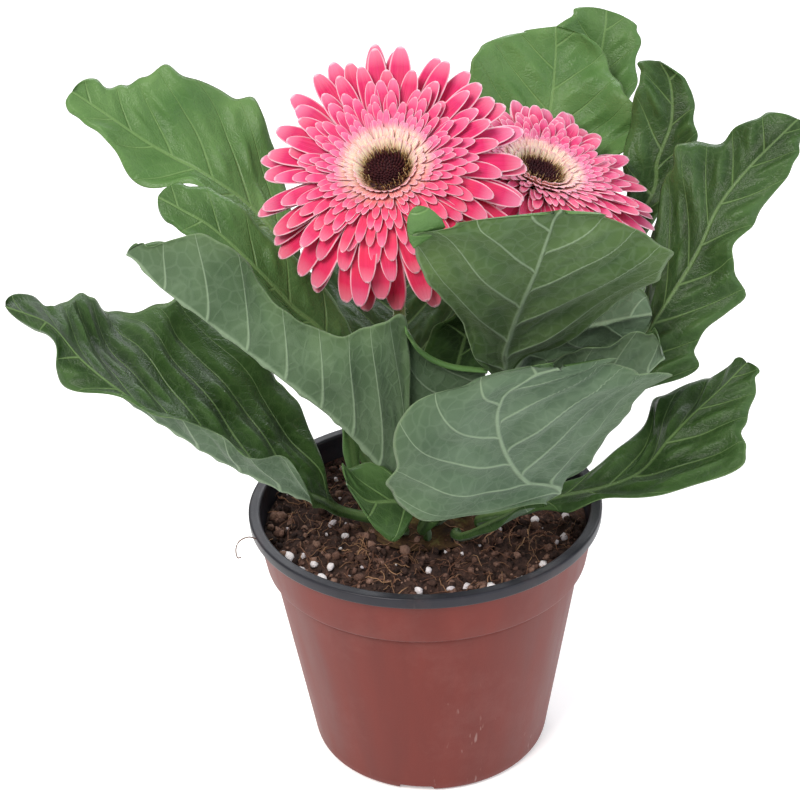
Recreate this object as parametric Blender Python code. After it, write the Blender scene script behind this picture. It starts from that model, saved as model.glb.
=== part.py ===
"""Potted gerbera: a nursery pot filled with soil, a rosette of leaves and two open flowers.

Lengths are written in millimetres and turned into metres when each mesh is made. +Z is up, -Y is the
front, and the origin is the centre of the pot's flat resting face.
"""

from math import cos, pi, radians, sin, tau

import bmesh
import bpy
import numpy as np
from mathutils import Matrix, Vector

MM = 0.001

# Pot
POT_HEIGHT = 100.0
RIM_RADIUS = 65.0
RIM_LIP_WIDTH = 4.4
RIM_LIP_HEIGHT = 4.5
RIM_OVERHANG = 2.4
COLLAR_HEIGHT = 17.0
COLLAR_FLARE = 3.4
COLLAR_STEP = 2.2
BASE_RADIUS = 46.0
SHOULDER_HEIGHT = 7.0
WALL = 1.4
PAD_RADIUS = 19.0
FOOT_WIDTH = 8.0
FOOT_CHANNEL = 3.2
FOOT_NOTCH_WIDTH = 13.0
FOOT_NOTCH_HEIGHT = 2.7
FOOT_NOTCH_COUNT = 4
FOOT_NOTCH_TURN = radians(-98)
DRAIN_HOLE_RADIUS = 4.0
DRAIN_HOLE_COUNT = 6
DRAIN_HOLE_TURN = radians(12)
POT_SIDES = 48

# Soil, and the gap between pieces that touch
SOIL_BELOW_RIM = 9.0
SOIL_DOME = 2.0
GAP = 0.3

# Plant
PLANT_HEIGHT = 160.0
BLADE_THICKNESS = 0.9
MIDRIB_THICKNESS = 2.2
LEAF_ARCH = 0.08
PETIOLE_WIDTH = 4.8
PETIOLE_THICKNESS = 3.0
CROWN_RADIUS = 24.5
CROWN_THICKNESS = 1.6
SCAPE_RADIUS = 2.4

# Flower heads
RAY_LENGTH = 41.0
FRONT_RAY_LENGTH = 38.1
RAY_WIDTH = 7.2
RAY_COUNT = 16
OUTER_FLORET_LENGTH = 23.0
OUTER_FLORET_WIDTH = 5.0
INNER_FLORET_LENGTH = 8.2
INNER_FLORET_WIDTH = 3.0
FLORET_COUNT = 20
PETAL_THICKNESS = 0.5
ROW_STEP = 0.9
RINGS_BOTTOM = -2.2
RING_INNER = 6.0
RING_OUTER = 9.0
DISC_RADIUS = 7.4
BRACTS_DEPTH = 13.5

# The rows of petals from the bracts up: rise is how many degrees a row stands up from the one below.
PETAL_ROWS = (
    {
        "name": "back_rays",
        "kind": "ray",
        "count": RAY_COUNT,
        "turn": 0.0,
        "length": RAY_LENGTH,
        "width": RAY_WIDTH,
        "rise": 0.0,
        "columns": (-1, 0, 1),
    },
    {
        "name": "front_rays",
        "kind": "ray",
        "count": RAY_COUNT,
        "turn": pi / RAY_COUNT,
        "length": FRONT_RAY_LENGTH,
        "width": RAY_WIDTH,
        "rise": 5.0,
        "columns": (-1, 0, 1),
    },
    {
        "name": "outer_florets",
        "kind": "floret",
        "count": FLORET_COUNT,
        "turn": 0.1,
        "length": OUTER_FLORET_LENGTH,
        "width": OUTER_FLORET_WIDTH,
        "rise": 12.0,
        "columns": (-1, 1),
    },
    {
        "name": "inner_florets",
        "kind": "floret",
        "count": FLORET_COUNT,
        "turn": 0.25,
        "length": INNER_FLORET_LENGTH,
        "width": INNER_FLORET_WIDTH,
        "rise": 26.0,
        "columns": (-1, 1),
    },
)

# The plant was laid out 160 mm tall with its crown at this height, and is scaled about the crown.
LAYOUT_HEIGHT = 160.0
LAYOUT_CROWN_TOP = 94.8

# A leaf's rows of points between two stations, and where its columns are, from one edge to the other.
LEAF_ROWS = 2
RIB_REACH = 1.8

# Each leaf: the foot and the bends of its stalk, then stations along the blade from stalk to tip.
# A station is the left edge, the midrib and the right edge, seen from the plant's centre.
LEAVES = {
    "leaf_front": {
        "stalk": [(10, -18, 95.1), (15, -25, 101)],
        "blade": [
            [(47, -34, 127), (44, -38, 125), (39, -42, 124)],
            [(57, -36, 138), (33, -48, 136), (15, -54, 126)],
            [(68, -42, 158), (26, -58, 152), (-7, -60, 134)],
            [(74, -48, 169), (23, -66, 168), (-11, -64, 153)],
            [(76, -54, 178), (25, -70, 179), (-6, -68, 172)],
            [(59, -62, 185), (32, -72, 185), (9, -70, 181)],
        ],
        "tip": (42, -70, 187),
    },
    "leaf_centre": {
        "stalk": [(3, -10, 95.1), (8, -14, 106)],
        "blade": [
            [(29, -20, 159), (26, -20, 157), (23, -22, 156)],
            [(46, -28, 177), (28, -30, 176), (16, -32, 178)],
            [(68, -36, 196), (32, -40, 195), (9, -42, 199)],
            [(78, -44, 210), (36, -48, 210), (2, -50, 215)],
            [(73, -50, 220), (39, -54, 223), (-2, -56, 228)],
            [(58, -54, 230), (41, -57, 231), (7, -56, 230)],
        ],
        "tip": (43, -58, 234),
    },
    "leaf_front_left": {
        "stalk": [(-8, -15, 95.1), (-11, -20, 101)],
        "blade": [
            [(-6, -30, 140), (-13, -28, 128), (-13, -20, 130)],
            [(-6, -34, 189), (-26, -34, 151), (-24, -12, 159)],
            [(-25, -36, 185), (-40, -38, 167), (-36, -10, 177)],
            [(-44, -36, 194), (-55, -40, 182), (-51, -10, 192)],
            [(-55, -36, 213), (-70, -42, 197), (-66, -14, 207)],
            [(-69, -38, 222), (-81, -42, 207), (-79, -26, 215)],
            [(-83, -40, 219), (-87, -41, 214), (-86, -34, 218)],
        ],
        "tip": (-91, -40, 217),
    },
    "leaf_low_front": {
        "stalk": [(-1, -19, 95.1), (-3, -24, 101)],
        "blade": [
            [(2, -25, 119), (2, -28, 114), (2, -30, 111)],
            [(-5, -40, 113), (-9, -36, 121), (-13, -32, 132)],
            [(-12, -46, 113), (-19, -42, 125), (-24, -36, 135)],
        ],
        "tip": (-26, -42, 132),
    },
    "leaf_left_low": {
        "stalk": [(-15, -9, 95.1), (-20, -12, 101), (-30, -20, 109)],
        "blade": [
            [(-36, -34, 121), (-36, -29, 119), (-33, -20, 120)],
            [(-44, -50, 147), (-47, -38, 130), (-43, -2, 144)],
            [(-62, -54, 156), (-67, -44, 146), (-59, 8, 161)],
            [(-78, -50, 165), (-81, -44, 157), (-81, 10, 178)],
            [(-100, -46, 170), (-97, -42, 169), (-101, 4, 179)],
            [(-117, -42, 175), (-110, -36, 178), (-113, 0, 185)],
            [(-120, -34, 185), (-121, -30, 189), (-122, -14, 191)],
        ],
        "tip": (-137, -22, 192),
    },
    "leaf_left_mid": {
        "stalk": [(-17, 0, 95.1), (-24, -1, 110)],
        "blade": [
            [(-33, -6, 160), (-30, -4, 163), (-23, 3, 166)],
            [(-47, -7, 178), (-44, -3, 181), (-36, 5, 189)],
            [(-58, -7, 192), (-57, -2, 197), (-52, 5, 206)],
            [(-71, -5, 204), (-69, 0, 209), (-65, 8, 218)],
            [(-80, -3, 210), (-79, 2, 215), (-75, 8, 222)],
        ],
        "tip": (-87, 4, 219),
    },
    "leaf_back_left": {
        "stalk": [(-13, 8, 95.1), (-25, 13, 120), (-40, 18, 158)],
        "blade": [
            [(-46, 6, 190), (-44, 11, 192), (-41, 19, 193)],
            [(-60, 12, 206), (-58, 22, 208), (-50, 46, 226)],
            [(-75, 16, 218), (-74, 27, 219), (-63, 50, 240)],
            [(-91, 19, 220), (-85, 31, 224), (-78, 48, 249)],
            [(-102, 23, 228), (-95, 33, 230), (-91, 46, 250)],
            [(-113, 29, 239), (-108, 34, 240), (-104, 41, 247)],
        ],
        "tip": (-118, 35, 247),
    },
    "leaf_back_low": {
        "stalk": [(-5, 17, 95.1), (-6, 30, 112)],
        "blade": [
            [(-14, 48, 128), (-6, 46, 126), (4, 48, 128)],
            [(-36, 70, 150), (-8, 68, 142), (24, 72, 150)],
            [(-42, 95, 162), (-10, 92, 154), (30, 96, 162)],
            [(-30, 118, 165), (-10, 116, 160), (16, 118, 166)],
        ],
        "tip": (-10, 134, 160),
    },
    "leaf_back_right_low": {
        "stalk": [(14, 17, 95.1), (22, 28, 111)],
        "blade": [
            [(27, 41, 125), (31, 36, 123), (36, 33, 124)],
            [(34, 63, 144), (46, 52, 137), (61, 41, 144)],
            [(46, 83, 151), (60, 68, 145), (80, 53, 154)],
            [(57, 97, 150), (71, 84, 145), (87, 72, 151)],
        ],
        "tip": (82, 98, 139),
    },
    "leaf_back_centre": {
        "stalk": [(4, 11, 95.1), (18, 40, 140)],
        "blade": [
            [(36, 60, 186), (44, 62, 188), (55, 62, 190)],
            [(24, 78, 209), (48, 80, 205), (83, 72, 210)],
            [(20, 82, 227), (52, 87, 218), (86, 76, 218)],
            [(22, 88, 238), (54, 93, 230), (77, 84, 229)],
            [(30, 94, 244), (55, 98, 239), (74, 92, 236)],
            [(42, 98, 246), (55, 100, 245), (68, 95, 243)],
        ],
        "tip": (55, 101, 247),
    },
    "leaf_back_high": {
        "stalk": [(6, 20, 95.1), (34, 56, 150)],
        "blade": [
            [(62, 92, 201), (66, 94, 200), (73, 92, 200)],
            [(56, 103, 229), (70, 102, 220), (85, 98, 222)],
            [(54, 108, 240), (73, 108, 231), (86, 104, 232)],
            [(61, 112, 247), (75, 111, 242), (88, 107, 241)],
        ],
        "tip": (76, 115, 249),
    },
    "leaf_back_right": {
        "stalk": [(18, 9, 95.1), (47, 36, 145)],
        "blade": [
            [(75, 54, 186), (85, 57, 189), (93, 55, 191)],
            [(77, 63, 208), (90, 62, 206), (102, 59, 210)],
            [(82, 68, 225), (95, 66, 219), (103, 63, 221)],
            [(84, 71, 236), (95, 71, 232), (101, 67, 230)],
        ],
        "tip": (91, 74, 240),
    },
    "leaf_right": {
        "stalk": [(18, 3, 95.1), (34, 5, 109)],
        "blade": [
            [(61, 11, 139), (64, 5, 137), (68, 0, 137)],
            [(69, 24, 155), (77, 10, 153), (96, 0, 151)],
            [(79, 33, 169), (84, 15, 163), (99, 8, 159)],
            [(86, 39, 188), (94, 20, 177), (113, 10, 175)],
            [(89, 43, 203), (100, 24, 186), (110, 16, 188)],
            [(94, 48, 215), (107, 30, 199), (118, 22, 197)],
            [(108, 47, 219), (117, 34, 211), (130, 28, 211)],
            [(120, 44, 226), (127, 36, 221), (135, 33, 221)],
        ],
        "tip": (135, 38, 228),
    },
    "leaf_right_mid": {
        "stalk": [(13, -4, 95.1), (29, -7, 116)],
        "blade": [
            [(41, 3, 151), (39, -12, 146), (40, -16, 154)],
            [(58, -3, 160), (56, -20, 154), (54, -22, 172)],
            [(69, -8, 167), (67, -26, 161), (64, -28, 176)],
            [(77, -12, 172), (75, -30, 166), (73, -32, 180)],
        ],
        "tip": (80, -32, 171),
    },
    "leaf_right_low": {
        "stalk": [(18, -11, 95.1), (24, -13, 101), (35, -16, 105)],
        "blade": [
            [(50, -12, 113), (48, -20, 112), (47, -26, 112)],
            [(63, -8, 121), (62, -22, 116), (62, -34, 119)],
            [(78, 0, 126), (75, -22, 122), (80, -40, 127)],
            [(82, 6, 139), (85, -18, 132), (108, -40, 135)],
            [(95, 6, 141), (93, -14, 139), (108, -26, 141)],
            [(101, 4, 146), (101, -12, 146), (113, -20, 148)],
            [(107, 0, 153), (108, -10, 152), (115, -14, 152)],
        ],
        "tip": (113, -8, 156),
    },
    "leaf_inner_left": {
        "stalk": [(4, -3, 95.1), (6, -2, 112)],
        "blade": [
            [(1, -1, 134), (8, 0, 134), (14, 1, 133)],
            [(0, -3, 150), (12, -1, 151), (23, 1, 149)],
            [(3, -6, 166), (16, -4, 168), (29, -2, 164)],
            [(10, -9, 176), (20, -8, 179), (29, -6, 176)],
        ],
        "tip": (22, -10, 184),
    },
    "leaf_inner_right": {
        "stalk": [(9, 3, 95.1), (24, 5, 125)],
        "blade": [
            [(40, 10, 150), (38, 4, 160), (44, 14, 164)],
            [(56, 6, 155), (55, 0, 167), (58, 14, 177)],
            [(70, 2, 161), (68, -2, 171), (68, 10, 181)],
        ],
        "tip": (80, -4, 174),
    },
}

# Each flower: the bends of its scape below the head, where the head's centre is, which way it faces,
# and how far its rays bend at the front, at the back and at the sides, in degrees from the head's plane.
FLOWERS = {
    "front_flower": {
        "scape": [(-4, -1, 95.1), (-6, 2, 135), (-7, 5, 180)],
        "centre": (-9, -3, 227),
        "facing": (-0.15, -0.58, 0.80),
        "bend": (-60, 15, -20),
        "left_dip": 0,
    },
    "rear_flower": {
        "scape": [(0, 4, 95.1), (12, 18, 135), (28, 28, 172)],
        "centre": (43, 30, 212),
        "facing": (0.34, -0.22, 0.91),
        "bend": (-24, 6, -10),
        "left_dip": -34,
    },
}

SOIL_EDGE = POT_HEIGHT - SOIL_BELOW_RIM
SOIL_TOP = SOIL_EDGE + SOIL_DOME
CROWN_BOTTOM = SOIL_TOP + GAP
CROWN_TOP = CROWN_BOTTOM + CROWN_THICKNESS
FOOT_LEVEL = CROWN_TOP + GAP
PLANT_SCALE = PLANT_HEIGHT / LAYOUT_HEIGHT
LIP_BOTTOM = POT_HEIGHT - RIM_LIP_HEIGHT
COLLAR_BOTTOM = LIP_BOTTOM - COLLAR_HEIGHT
COLLAR_TOP_RADIUS = RIM_RADIUS - RIM_OVERHANG
COLLAR_BOTTOM_RADIUS = COLLAR_TOP_RADIUS - COLLAR_FLARE
BODY_TOP_RADIUS = COLLAR_BOTTOM_RADIUS - COLLAR_STEP
FLOOR_TOP = FOOT_CHANNEL + WALL


def clear_scene():
    for obj in list(bpy.data.objects):
        bpy.data.objects.remove(obj, do_unlink=True)


def make_material(name, colour, roughness):
    material = bpy.data.materials.new(name)
    material.use_nodes = True
    shader = material.node_tree.nodes["Principled BSDF"]
    shader.inputs["Base Color"].default_value = (*colour, 1.0)
    shader.inputs["Roughness"].default_value = roughness
    return material


def unit(vectors):
    vectors = np.asarray(vectors, float)
    length = np.linalg.norm(vectors, axis=-1, keepdims=True)
    return vectors / np.maximum(length, 1e-9)


def link(obj, material):
    obj.data.materials.append(material)
    bpy.context.scene.collection.objects.link(obj)
    return obj


def add_mesh(name, points, edges, faces, material):
    """A smooth-shaded mesh object from points in millimetres."""
    mesh = bpy.data.meshes.new(name)
    mesh.from_pydata([Vector(point) * MM for point in points], edges, faces)
    mesh.shade_smooth()
    return link(bpy.data.objects.new(name, mesh), material)


def solidify(obj, thickness, offset):
    modifier = obj.modifiers.new("thickness", "SOLIDIFY")
    modifier.thickness = thickness * MM
    modifier.offset = offset
    return modifier


def turned_body(name, profile, sides, material):
    """A body turned about Z from a (radius, height) outline that runs from the axis out, up and back."""
    points = [(radius, 0.0, height) for radius, height in reversed(profile)]
    edges = [(k, k + 1) for k in range(len(points) - 1)]
    obj = add_mesh(name, points, edges, [], material)
    screw = obj.modifiers.new("turn", "SCREW")
    screw.steps = sides
    screw.render_steps = sides
    screw.use_merge_vertices = True
    screw.merge_threshold = 0.00001
    screw.use_smooth_shade = True
    return obj


def in_plant(points):
    """Layout points scaled about the crown and set on the crown of this pot."""
    crown = np.array([0.0, 0.0, LAYOUT_CROWN_TOP])
    return (np.asarray(points, float) - crown) * PLANT_SCALE + np.array([0.0, 0.0, CROWN_TOP])


def smooth_path(points, at):
    """Points on a curve through the given ones; a whole number in at is one of them."""
    points = np.asarray(points, float)
    last = len(points) - 1
    padded = np.vstack([2 * points[0] - points[1], points, 2 * points[-1] - points[-2]])
    at = np.clip(np.asarray(at, float), 0, last - 1e-9)
    step = at.astype(int)
    part = (at - step)[:, None]
    before, here, there, after = (padded[step + k] for k in range(4))
    return 0.5 * (
        2 * here
        + (there - before) * part
        + (2 * before - 5 * here + 4 * there - after) * part**2
        + (3 * here - before - 3 * there + after) * part**3
    )


# Pot and soil


def inside_radius(height):
    """Radius of the pot's inside at a height above its shoulder."""
    heights = [SHOULDER_HEIGHT, COLLAR_BOTTOM - 1.0, COLLAR_BOTTOM, LIP_BOTTOM]
    radii = [
        BASE_RADIUS - WALL,
        BODY_TOP_RADIUS - WALL,
        COLLAR_BOTTOM_RADIUS - WALL,
        RIM_RADIUS - RIM_LIP_WIDTH,
    ]
    return float(np.interp(height, heights, radii))


def add_cutter(name, material):
    """An empty mesh that only cuts: it isn't rendered."""
    obj = link(bpy.data.objects.new(name, bpy.data.meshes.new(name)), material)
    obj.hide_render = True
    obj.display_type = "WIRE"
    return obj


def cut(obj, tool):
    modifier = obj.modifiers.new(tool.name, "BOOLEAN")
    modifier.operation = "DIFFERENCE"
    modifier.solver = "EXACT"
    modifier.object = tool


def add_drain_hole(pot, index, material):
    angle = tau * index / DRAIN_HOLE_COUNT + DRAIN_HOLE_TURN
    distance = (PAD_RADIUS + BASE_RADIUS - FOOT_WIDTH) / 2
    tool = add_cutter(f"drain_cutter_{index}", material)
    shape = bmesh.new()
    radius = DRAIN_HOLE_RADIUS * MM
    bmesh.ops.create_cone(
        shape, cap_ends=True, segments=16, radius1=radius, radius2=radius, depth=4 * WALL * MM
    )
    shape.to_mesh(tool.data)
    shape.free()
    tool.location = Vector((distance * cos(angle), distance * sin(angle), FLOOR_TOP)) * MM
    cut(pot, tool)


def add_foot_notch(pot, index, material):
    tool = add_cutter(f"notch_cutter_{index}", material)
    shape = bmesh.new()
    reach = FOOT_WIDTH + 8.0
    size = Vector((reach, FOOT_NOTCH_WIDTH, 2 * FOOT_NOTCH_HEIGHT)) * MM
    middle = Vector((BASE_RADIUS - FOOT_WIDTH + reach / 2 - 4.0, 0.0, 0.0)) * MM
    bmesh.ops.create_cube(shape, size=1.0, matrix=Matrix.Translation(middle) @ Matrix.Diagonal((*size, 1.0)))
    shape.to_mesh(tool.data)
    shape.free()
    tool.rotation_euler.z = tau * index / FOOT_NOTCH_COUNT + FOOT_NOTCH_TURN
    cut(pot, tool)


def build_pot(material):
    """The thin pot: a flat middle and a foot that it rests on, and a raised channel with drain holes."""
    foot_inside = BASE_RADIUS - FOOT_WIDTH
    lip_inside = RIM_RADIUS - RIM_LIP_WIDTH
    profile = [
        (0.0, 0.0),
        (PAD_RADIUS, 0.0),
        (PAD_RADIUS + 2.0, FOOT_CHANNEL),
        (foot_inside - 2.0, FOOT_CHANNEL),
        (foot_inside, 0.0),
        (BASE_RADIUS - 2.6, 0.0),
        (BASE_RADIUS - 1.1, 1.2),
        (BASE_RADIUS - 0.4, 3.4),
        (BASE_RADIUS, SHOULDER_HEIGHT),
        (BODY_TOP_RADIUS, COLLAR_BOTTOM - 1.0),
        (COLLAR_BOTTOM_RADIUS, COLLAR_BOTTOM),
        (COLLAR_TOP_RADIUS, LIP_BOTTOM),
        (RIM_RADIUS - 0.5, LIP_BOTTOM),
        (RIM_RADIUS, LIP_BOTTOM + 1.2),
        (RIM_RADIUS, POT_HEIGHT - 1.2),
        (RIM_RADIUS - 1.0, POT_HEIGHT),
        (lip_inside + 0.8, POT_HEIGHT),
        (lip_inside, POT_HEIGHT - 0.8),
        (lip_inside, LIP_BOTTOM),
        (inside_radius(COLLAR_BOTTOM), COLLAR_BOTTOM),
        (inside_radius(COLLAR_BOTTOM - 1.0), COLLAR_BOTTOM - 1.0),
        (inside_radius(SHOULDER_HEIGHT), SHOULDER_HEIGHT),
        (BASE_RADIUS - WALL - 2.0, FLOOR_TOP),
        (0.0, FLOOR_TOP),
    ]
    pot = turned_body("pot", profile, POT_SIDES, material)
    for index in range(DRAIN_HOLE_COUNT):
        add_drain_hole(pot, index, material)
    for index in range(FOOT_NOTCH_COUNT):
        add_foot_notch(pot, index, material)


def build_soil(material):
    """The soil fills the pot up to below its rim and is a little higher in the middle."""
    floor = FLOOR_TOP + GAP
    edge = inside_radius(SOIL_EDGE) - GAP
    collar = inside_radius(COLLAR_BOTTOM) - GAP
    body = inside_radius(COLLAR_BOTTOM - 1.0) - GAP
    profile = [
        (0.0, floor),
        (BASE_RADIUS - WALL - 3.2, floor),
        (inside_radius(SHOULDER_HEIGHT) - 2 * GAP, SHOULDER_HEIGHT + 1.0),
        (body - GAP, COLLAR_BOTTOM - 1.0),
        (collar - GAP, COLLAR_BOTTOM + 0.6),
        (edge, SOIL_EDGE),
        (edge * 0.82, SOIL_EDGE + SOIL_DOME * 0.5),
        (edge * 0.50, SOIL_EDGE + SOIL_DOME * 0.9),
        (0.0, SOIL_TOP),
    ]
    turned_body("soil", profile, POT_SIDES, material)


def build_crown(material):
    """The low disc of leaf bases that every stalk stands on."""
    radius = CROWN_RADIUS * PLANT_SCALE
    profile = [
        (0.0, CROWN_BOTTOM),
        (radius, CROWN_BOTTOM),
        (radius, CROWN_BOTTOM + 0.5 * CROWN_THICKNESS),
        (radius - 2.5, CROWN_TOP),
        (0.0, CROWN_TOP),
    ]
    turned_body("crown", profile, 32, material)


# Leaves


def leaf_edges(leaf):
    """Midrib, left and right edge points from the foot of the stalk to the tip."""
    stalk = in_plant(leaf["stalk"])
    stalk[0, 2] = FOOT_LEVEL
    stalk = np.insert(stalk, 1, stalk[0] + (0.0, 0.0, PETIOLE_THICKNESS), axis=0)
    blade = in_plant(leaf["blade"])
    tip = in_plant([leaf["tip"]])[0]
    middle = np.concatenate([stalk, blade[:, 1], [tip]])
    across = unit(blade[0, 2] - blade[0, 0])
    left, right = [], []
    for k, point in enumerate(stalk):
        along = unit(middle[max(k, 1) + 1] - middle[max(k, 1)])
        side = across - along * (across @ along)
        if k < 2:
            side[2] = 0.0
        left.append(point - unit(side) * PETIOLE_WIDTH / 2)
        right.append(point + unit(side) * PETIOLE_WIDTH / 2)
    left = np.concatenate([left, blade[:, 0], [tip + 0.12 * (blade[-1, 0] - blade[-1, 1])]])
    right = np.concatenate([right, blade[:, 2], [tip + 0.12 * (blade[-1, 2] - blade[-1, 1])]])
    return middle, left, right, len(stalk)


def leaf_grid(middle, left, right, is_blade):
    """Rows of seven points from the left edge to the right, arched between the midrib and each edge."""
    along = unit(np.gradient(middle, axis=0))
    columns = []
    for side, edge in ((-1, left), (1, right)):
        reach = edge - middle
        width = np.linalg.norm(reach, axis=1, keepdims=True)
        up = unit(np.cross(reach * side, along))
        rib = np.clip(RIB_REACH / np.maximum(width, 0.1), 0.06, 0.35)
        half = []
        for part in (1.0, 0.5, rib):
            arch = LEAF_ARCH * 4 * part * (1 - part) * width * is_blade
            half.append(middle + reach * part - up * arch)
        columns += half if side < 0 else [middle] + half[::-1]
    return np.stack(columns, axis=1)


def build_leaf(name, leaf, material):
    """A stalk that widens into a blade, with a raised midrib on its underside."""
    middle, left, right, stalk_count = leaf_edges(leaf)
    at = np.linspace(0, len(middle) - 1, (len(middle) - 1) * LEAF_ROWS + 1)
    middle, left, right = (smooth_path(points, at) for points in (middle, left, right))
    for points in (middle, left, right):
        points[1] = points[0] + (0.0, 0.0, PETIOLE_THICKNESS / 2)
    is_blade = np.clip(at - stalk_count + 0.5, 0, 1)[:, None]
    grid = leaf_grid(middle, left, right, is_blade)
    rows, columns = grid.shape[:2]
    faces = [
        (k, k + 1, k + columns + 1, k + columns)
        for k in range((rows - 1) * columns)
        if k % columns < columns - 1
    ]
    obj = add_mesh(name, grid.reshape(-1, 3), [], faces, material)

    is_thin = np.clip((at - stalk_count + 1.0) / 1.2, 0, 1)[:, None]
    to_tip = np.clip((at - stalk_count) / (len(leaf["blade"])), 0, 1)[:, None]
    rounded = np.array([0.50, 0.88, 0.97, 1.0, 0.97, 0.88, 0.50])
    is_rib = np.array([0.0, 0.0, 0.12, 1.0, 0.12, 0.0, 0.0])
    blade = BLADE_THICKNESS + (MIDRIB_THICKNESS - BLADE_THICKNESS) * is_rib * (1 - to_tip)
    thickness = PETIOLE_THICKNESS * rounded * (1 - is_thin) + blade * is_thin
    group = obj.vertex_groups.new(name="thickness")
    for index, share in enumerate(thickness.ravel() / PETIOLE_THICKNESS):
        group.add([index], float(share), "REPLACE")
    modifier = solidify(obj, PETIOLE_THICKNESS, -1.0)
    modifier.vertex_group = group.name


# Flowers


def head_frame(flower):
    """Matrix of a head: X to its right, Y to its back, Z the way it faces, at its centre."""
    facing = Vector(flower["facing"]).normalized()
    right = Vector((0.0, 1.0, 0.0)).cross(facing).normalized()
    turn = Matrix((right, facing.cross(right), facing)).transposed().to_4x4()
    centre = Vector(in_plant([flower["centre"]])[0]) * MM
    return Matrix.Translation(centre) @ turn


def tip_bend(flower, angle):
    """How far a petal that points this way has turned at its tip, in radians."""
    front, back, side = flower["bend"]
    toward_back = sin(angle)
    if toward_back < 0:
        bend = side + (front - side) * (-toward_back) ** 1.5
    else:
        bend = side + (back - side) * toward_back
    return radians(bend + flower["left_dip"] * max(0.0, -cos(angle)) ** 1.5)


def petal_path(flower, angle, length, rise):
    """Distance out and height of points along a petal, each with the petal's slope there."""
    fine_steps = 24
    out, height = RING_OUTER, 0.0
    path = []
    for k in range(fine_steps + 1):
        gone = length * k / fine_steps
        ease = min(1.0, gone / (0.7 * RAY_LENGTH))
        ease = ease * ease * (3 - 2 * ease)
        slope = tip_bend(flower, angle) * ease + radians(rise) * min(1.0, 8 * k / fine_steps)
        path.append((out, height, slope))
        out += cos(slope) * length / fine_steps
        height += sin(slope) * length / fine_steps
    return path


def build_petal_row(name, flower, row, level, head, material):
    """One row of petals that share a ring, as one body shaped like a star with a hole."""
    steps = ((0, 0.0), (6, 0.82), (14, 1.0), (21, 0.66), (24, 0.26))
    pitch = tau / row["count"]
    ring_half = 0.31 * pitch
    sides = row["columns"]
    strip = len(sides)
    rows_a_petal = len(steps) + 1
    points, faces = [], []
    for petal in range(row["count"]):
        middle = petal * pitch + row["turn"]
        length = row["length"] * (0.94 + 0.06 * cos(5 * middle))
        path = petal_path(flower, middle, length, row["rise"])
        outward = Vector((cos(middle), sin(middle), 0.0))
        across = Vector((-sin(middle), cos(middle), 0.0))
        for radius in (RING_INNER, RING_OUTER):
            for side in sides:
                angle = middle + side * ring_half
                points.append((radius * cos(angle), radius * sin(angle), level))
        for step, width in steps[1:]:
            out, height, slope = path[step]
            half = 0.5 * row["width"] * width
            lift = Vector((-sin(slope) * outward.x, -sin(slope) * outward.y, cos(slope)))
            for side in sides:
                trough = 0.10 * half * abs(side)
                base = outward * out + Vector((0.0, 0.0, height + level))
                points.append(base + across * half * side + lift * trough)
        first = petal * rows_a_petal * strip
        for r in range(rows_a_petal - 1):
            for j in range(strip - 1):
                corner = first + r * strip + j
                faces.append((corner, corner + strip, corner + strip + 1, corner + 1))
        following = (petal + 1) % row["count"] * rows_a_petal * strip
        faces.append((first + strip - 1, first + 2 * strip - 1, following + strip, following))
    obj = add_mesh(name, [Vector(p) * PLANT_SCALE for p in points], [], faces, material)
    solidify(obj, PETAL_THICKNESS, 0.0)
    obj.parent = head
    return obj


def build_scape(name, flower, material):
    """The leafless stem that carries one head, from the crown to just below the bracts."""
    frame = head_frame(flower)
    top = frame @ Vector((0.0, 0.0, (-BRACTS_DEPTH * PLANT_SCALE - GAP) * MM)) / MM
    below = frame @ Vector((0.0, 0.0, -2 * BRACTS_DEPTH * PLANT_SCALE * MM)) / MM
    path = in_plant(flower["scape"])
    path[0, 2] = FOOT_LEVEL
    path = np.vstack([path[0], path[0] + (0.0, 0.0, 2 * SCAPE_RADIUS), path[1:], below, top])
    at = np.linspace(0, len(path) - 1, 2 * len(path) - 1)
    places = smooth_path(path, at)
    places[1] = (path[0] + path[1]) / 2
    places[-2] = (path[-1] + path[-2]) / 2
    curve = bpy.data.curves.new(name, "CURVE")
    curve.dimensions = "3D"
    curve.bevel_depth = SCAPE_RADIUS * MM
    curve.bevel_resolution = 3
    curve.use_fill_caps = True
    spline = curve.splines.new("POLY")
    spline.points.add(len(at) - 1)
    for k, (point, place) in enumerate(zip(spline.points, places)):
        point.co = (*(place * MM), 1.0)
        point.radius = 1.0 - 0.18 * k / len(at)
    link(bpy.data.objects.new(name, curve), material)


def build_bracts(name, level, head, material):
    """The green cup under the head, with the column that the petal rows are threaded on."""
    column = RING_INNER - 0.4
    profile = [
        (0.0, -BRACTS_DEPTH),
        (2.3, -BRACTS_DEPTH),
        (5.2, 1.9 - BRACTS_DEPTH),
        (8.6, 5.3 - BRACTS_DEPTH),
        (10.2, 8.5 - BRACTS_DEPTH),
        (10.4, level - 1.0),
        (9.0, level - 0.65),
        (column, level - 0.65),
        (column, level + 3 * ROW_STEP + 0.3),
        (0.0, level + 3 * ROW_STEP + 0.3),
    ]
    scaled = [(radius * PLANT_SCALE, height * PLANT_SCALE) for radius, height in profile]
    turned_body(name, scaled, 20, material).parent = head


def build_disc(name, bottom, head, material):
    """The button of unopened florets in the middle, a little sunk at its centre."""
    profile = [
        (0.0, bottom),
        (DISC_RADIUS - 1.4, bottom),
        (DISC_RADIUS, bottom + 1.2),
        (DISC_RADIUS * 0.8, bottom + 2.6),
        (DISC_RADIUS * 0.4, bottom + 2.2),
        (0.0, bottom + 1.8),
    ]
    scaled = [(radius * PLANT_SCALE, height * PLANT_SCALE) for radius, height in profile]
    turned_body(name, scaled, 20, material).parent = head


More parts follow.
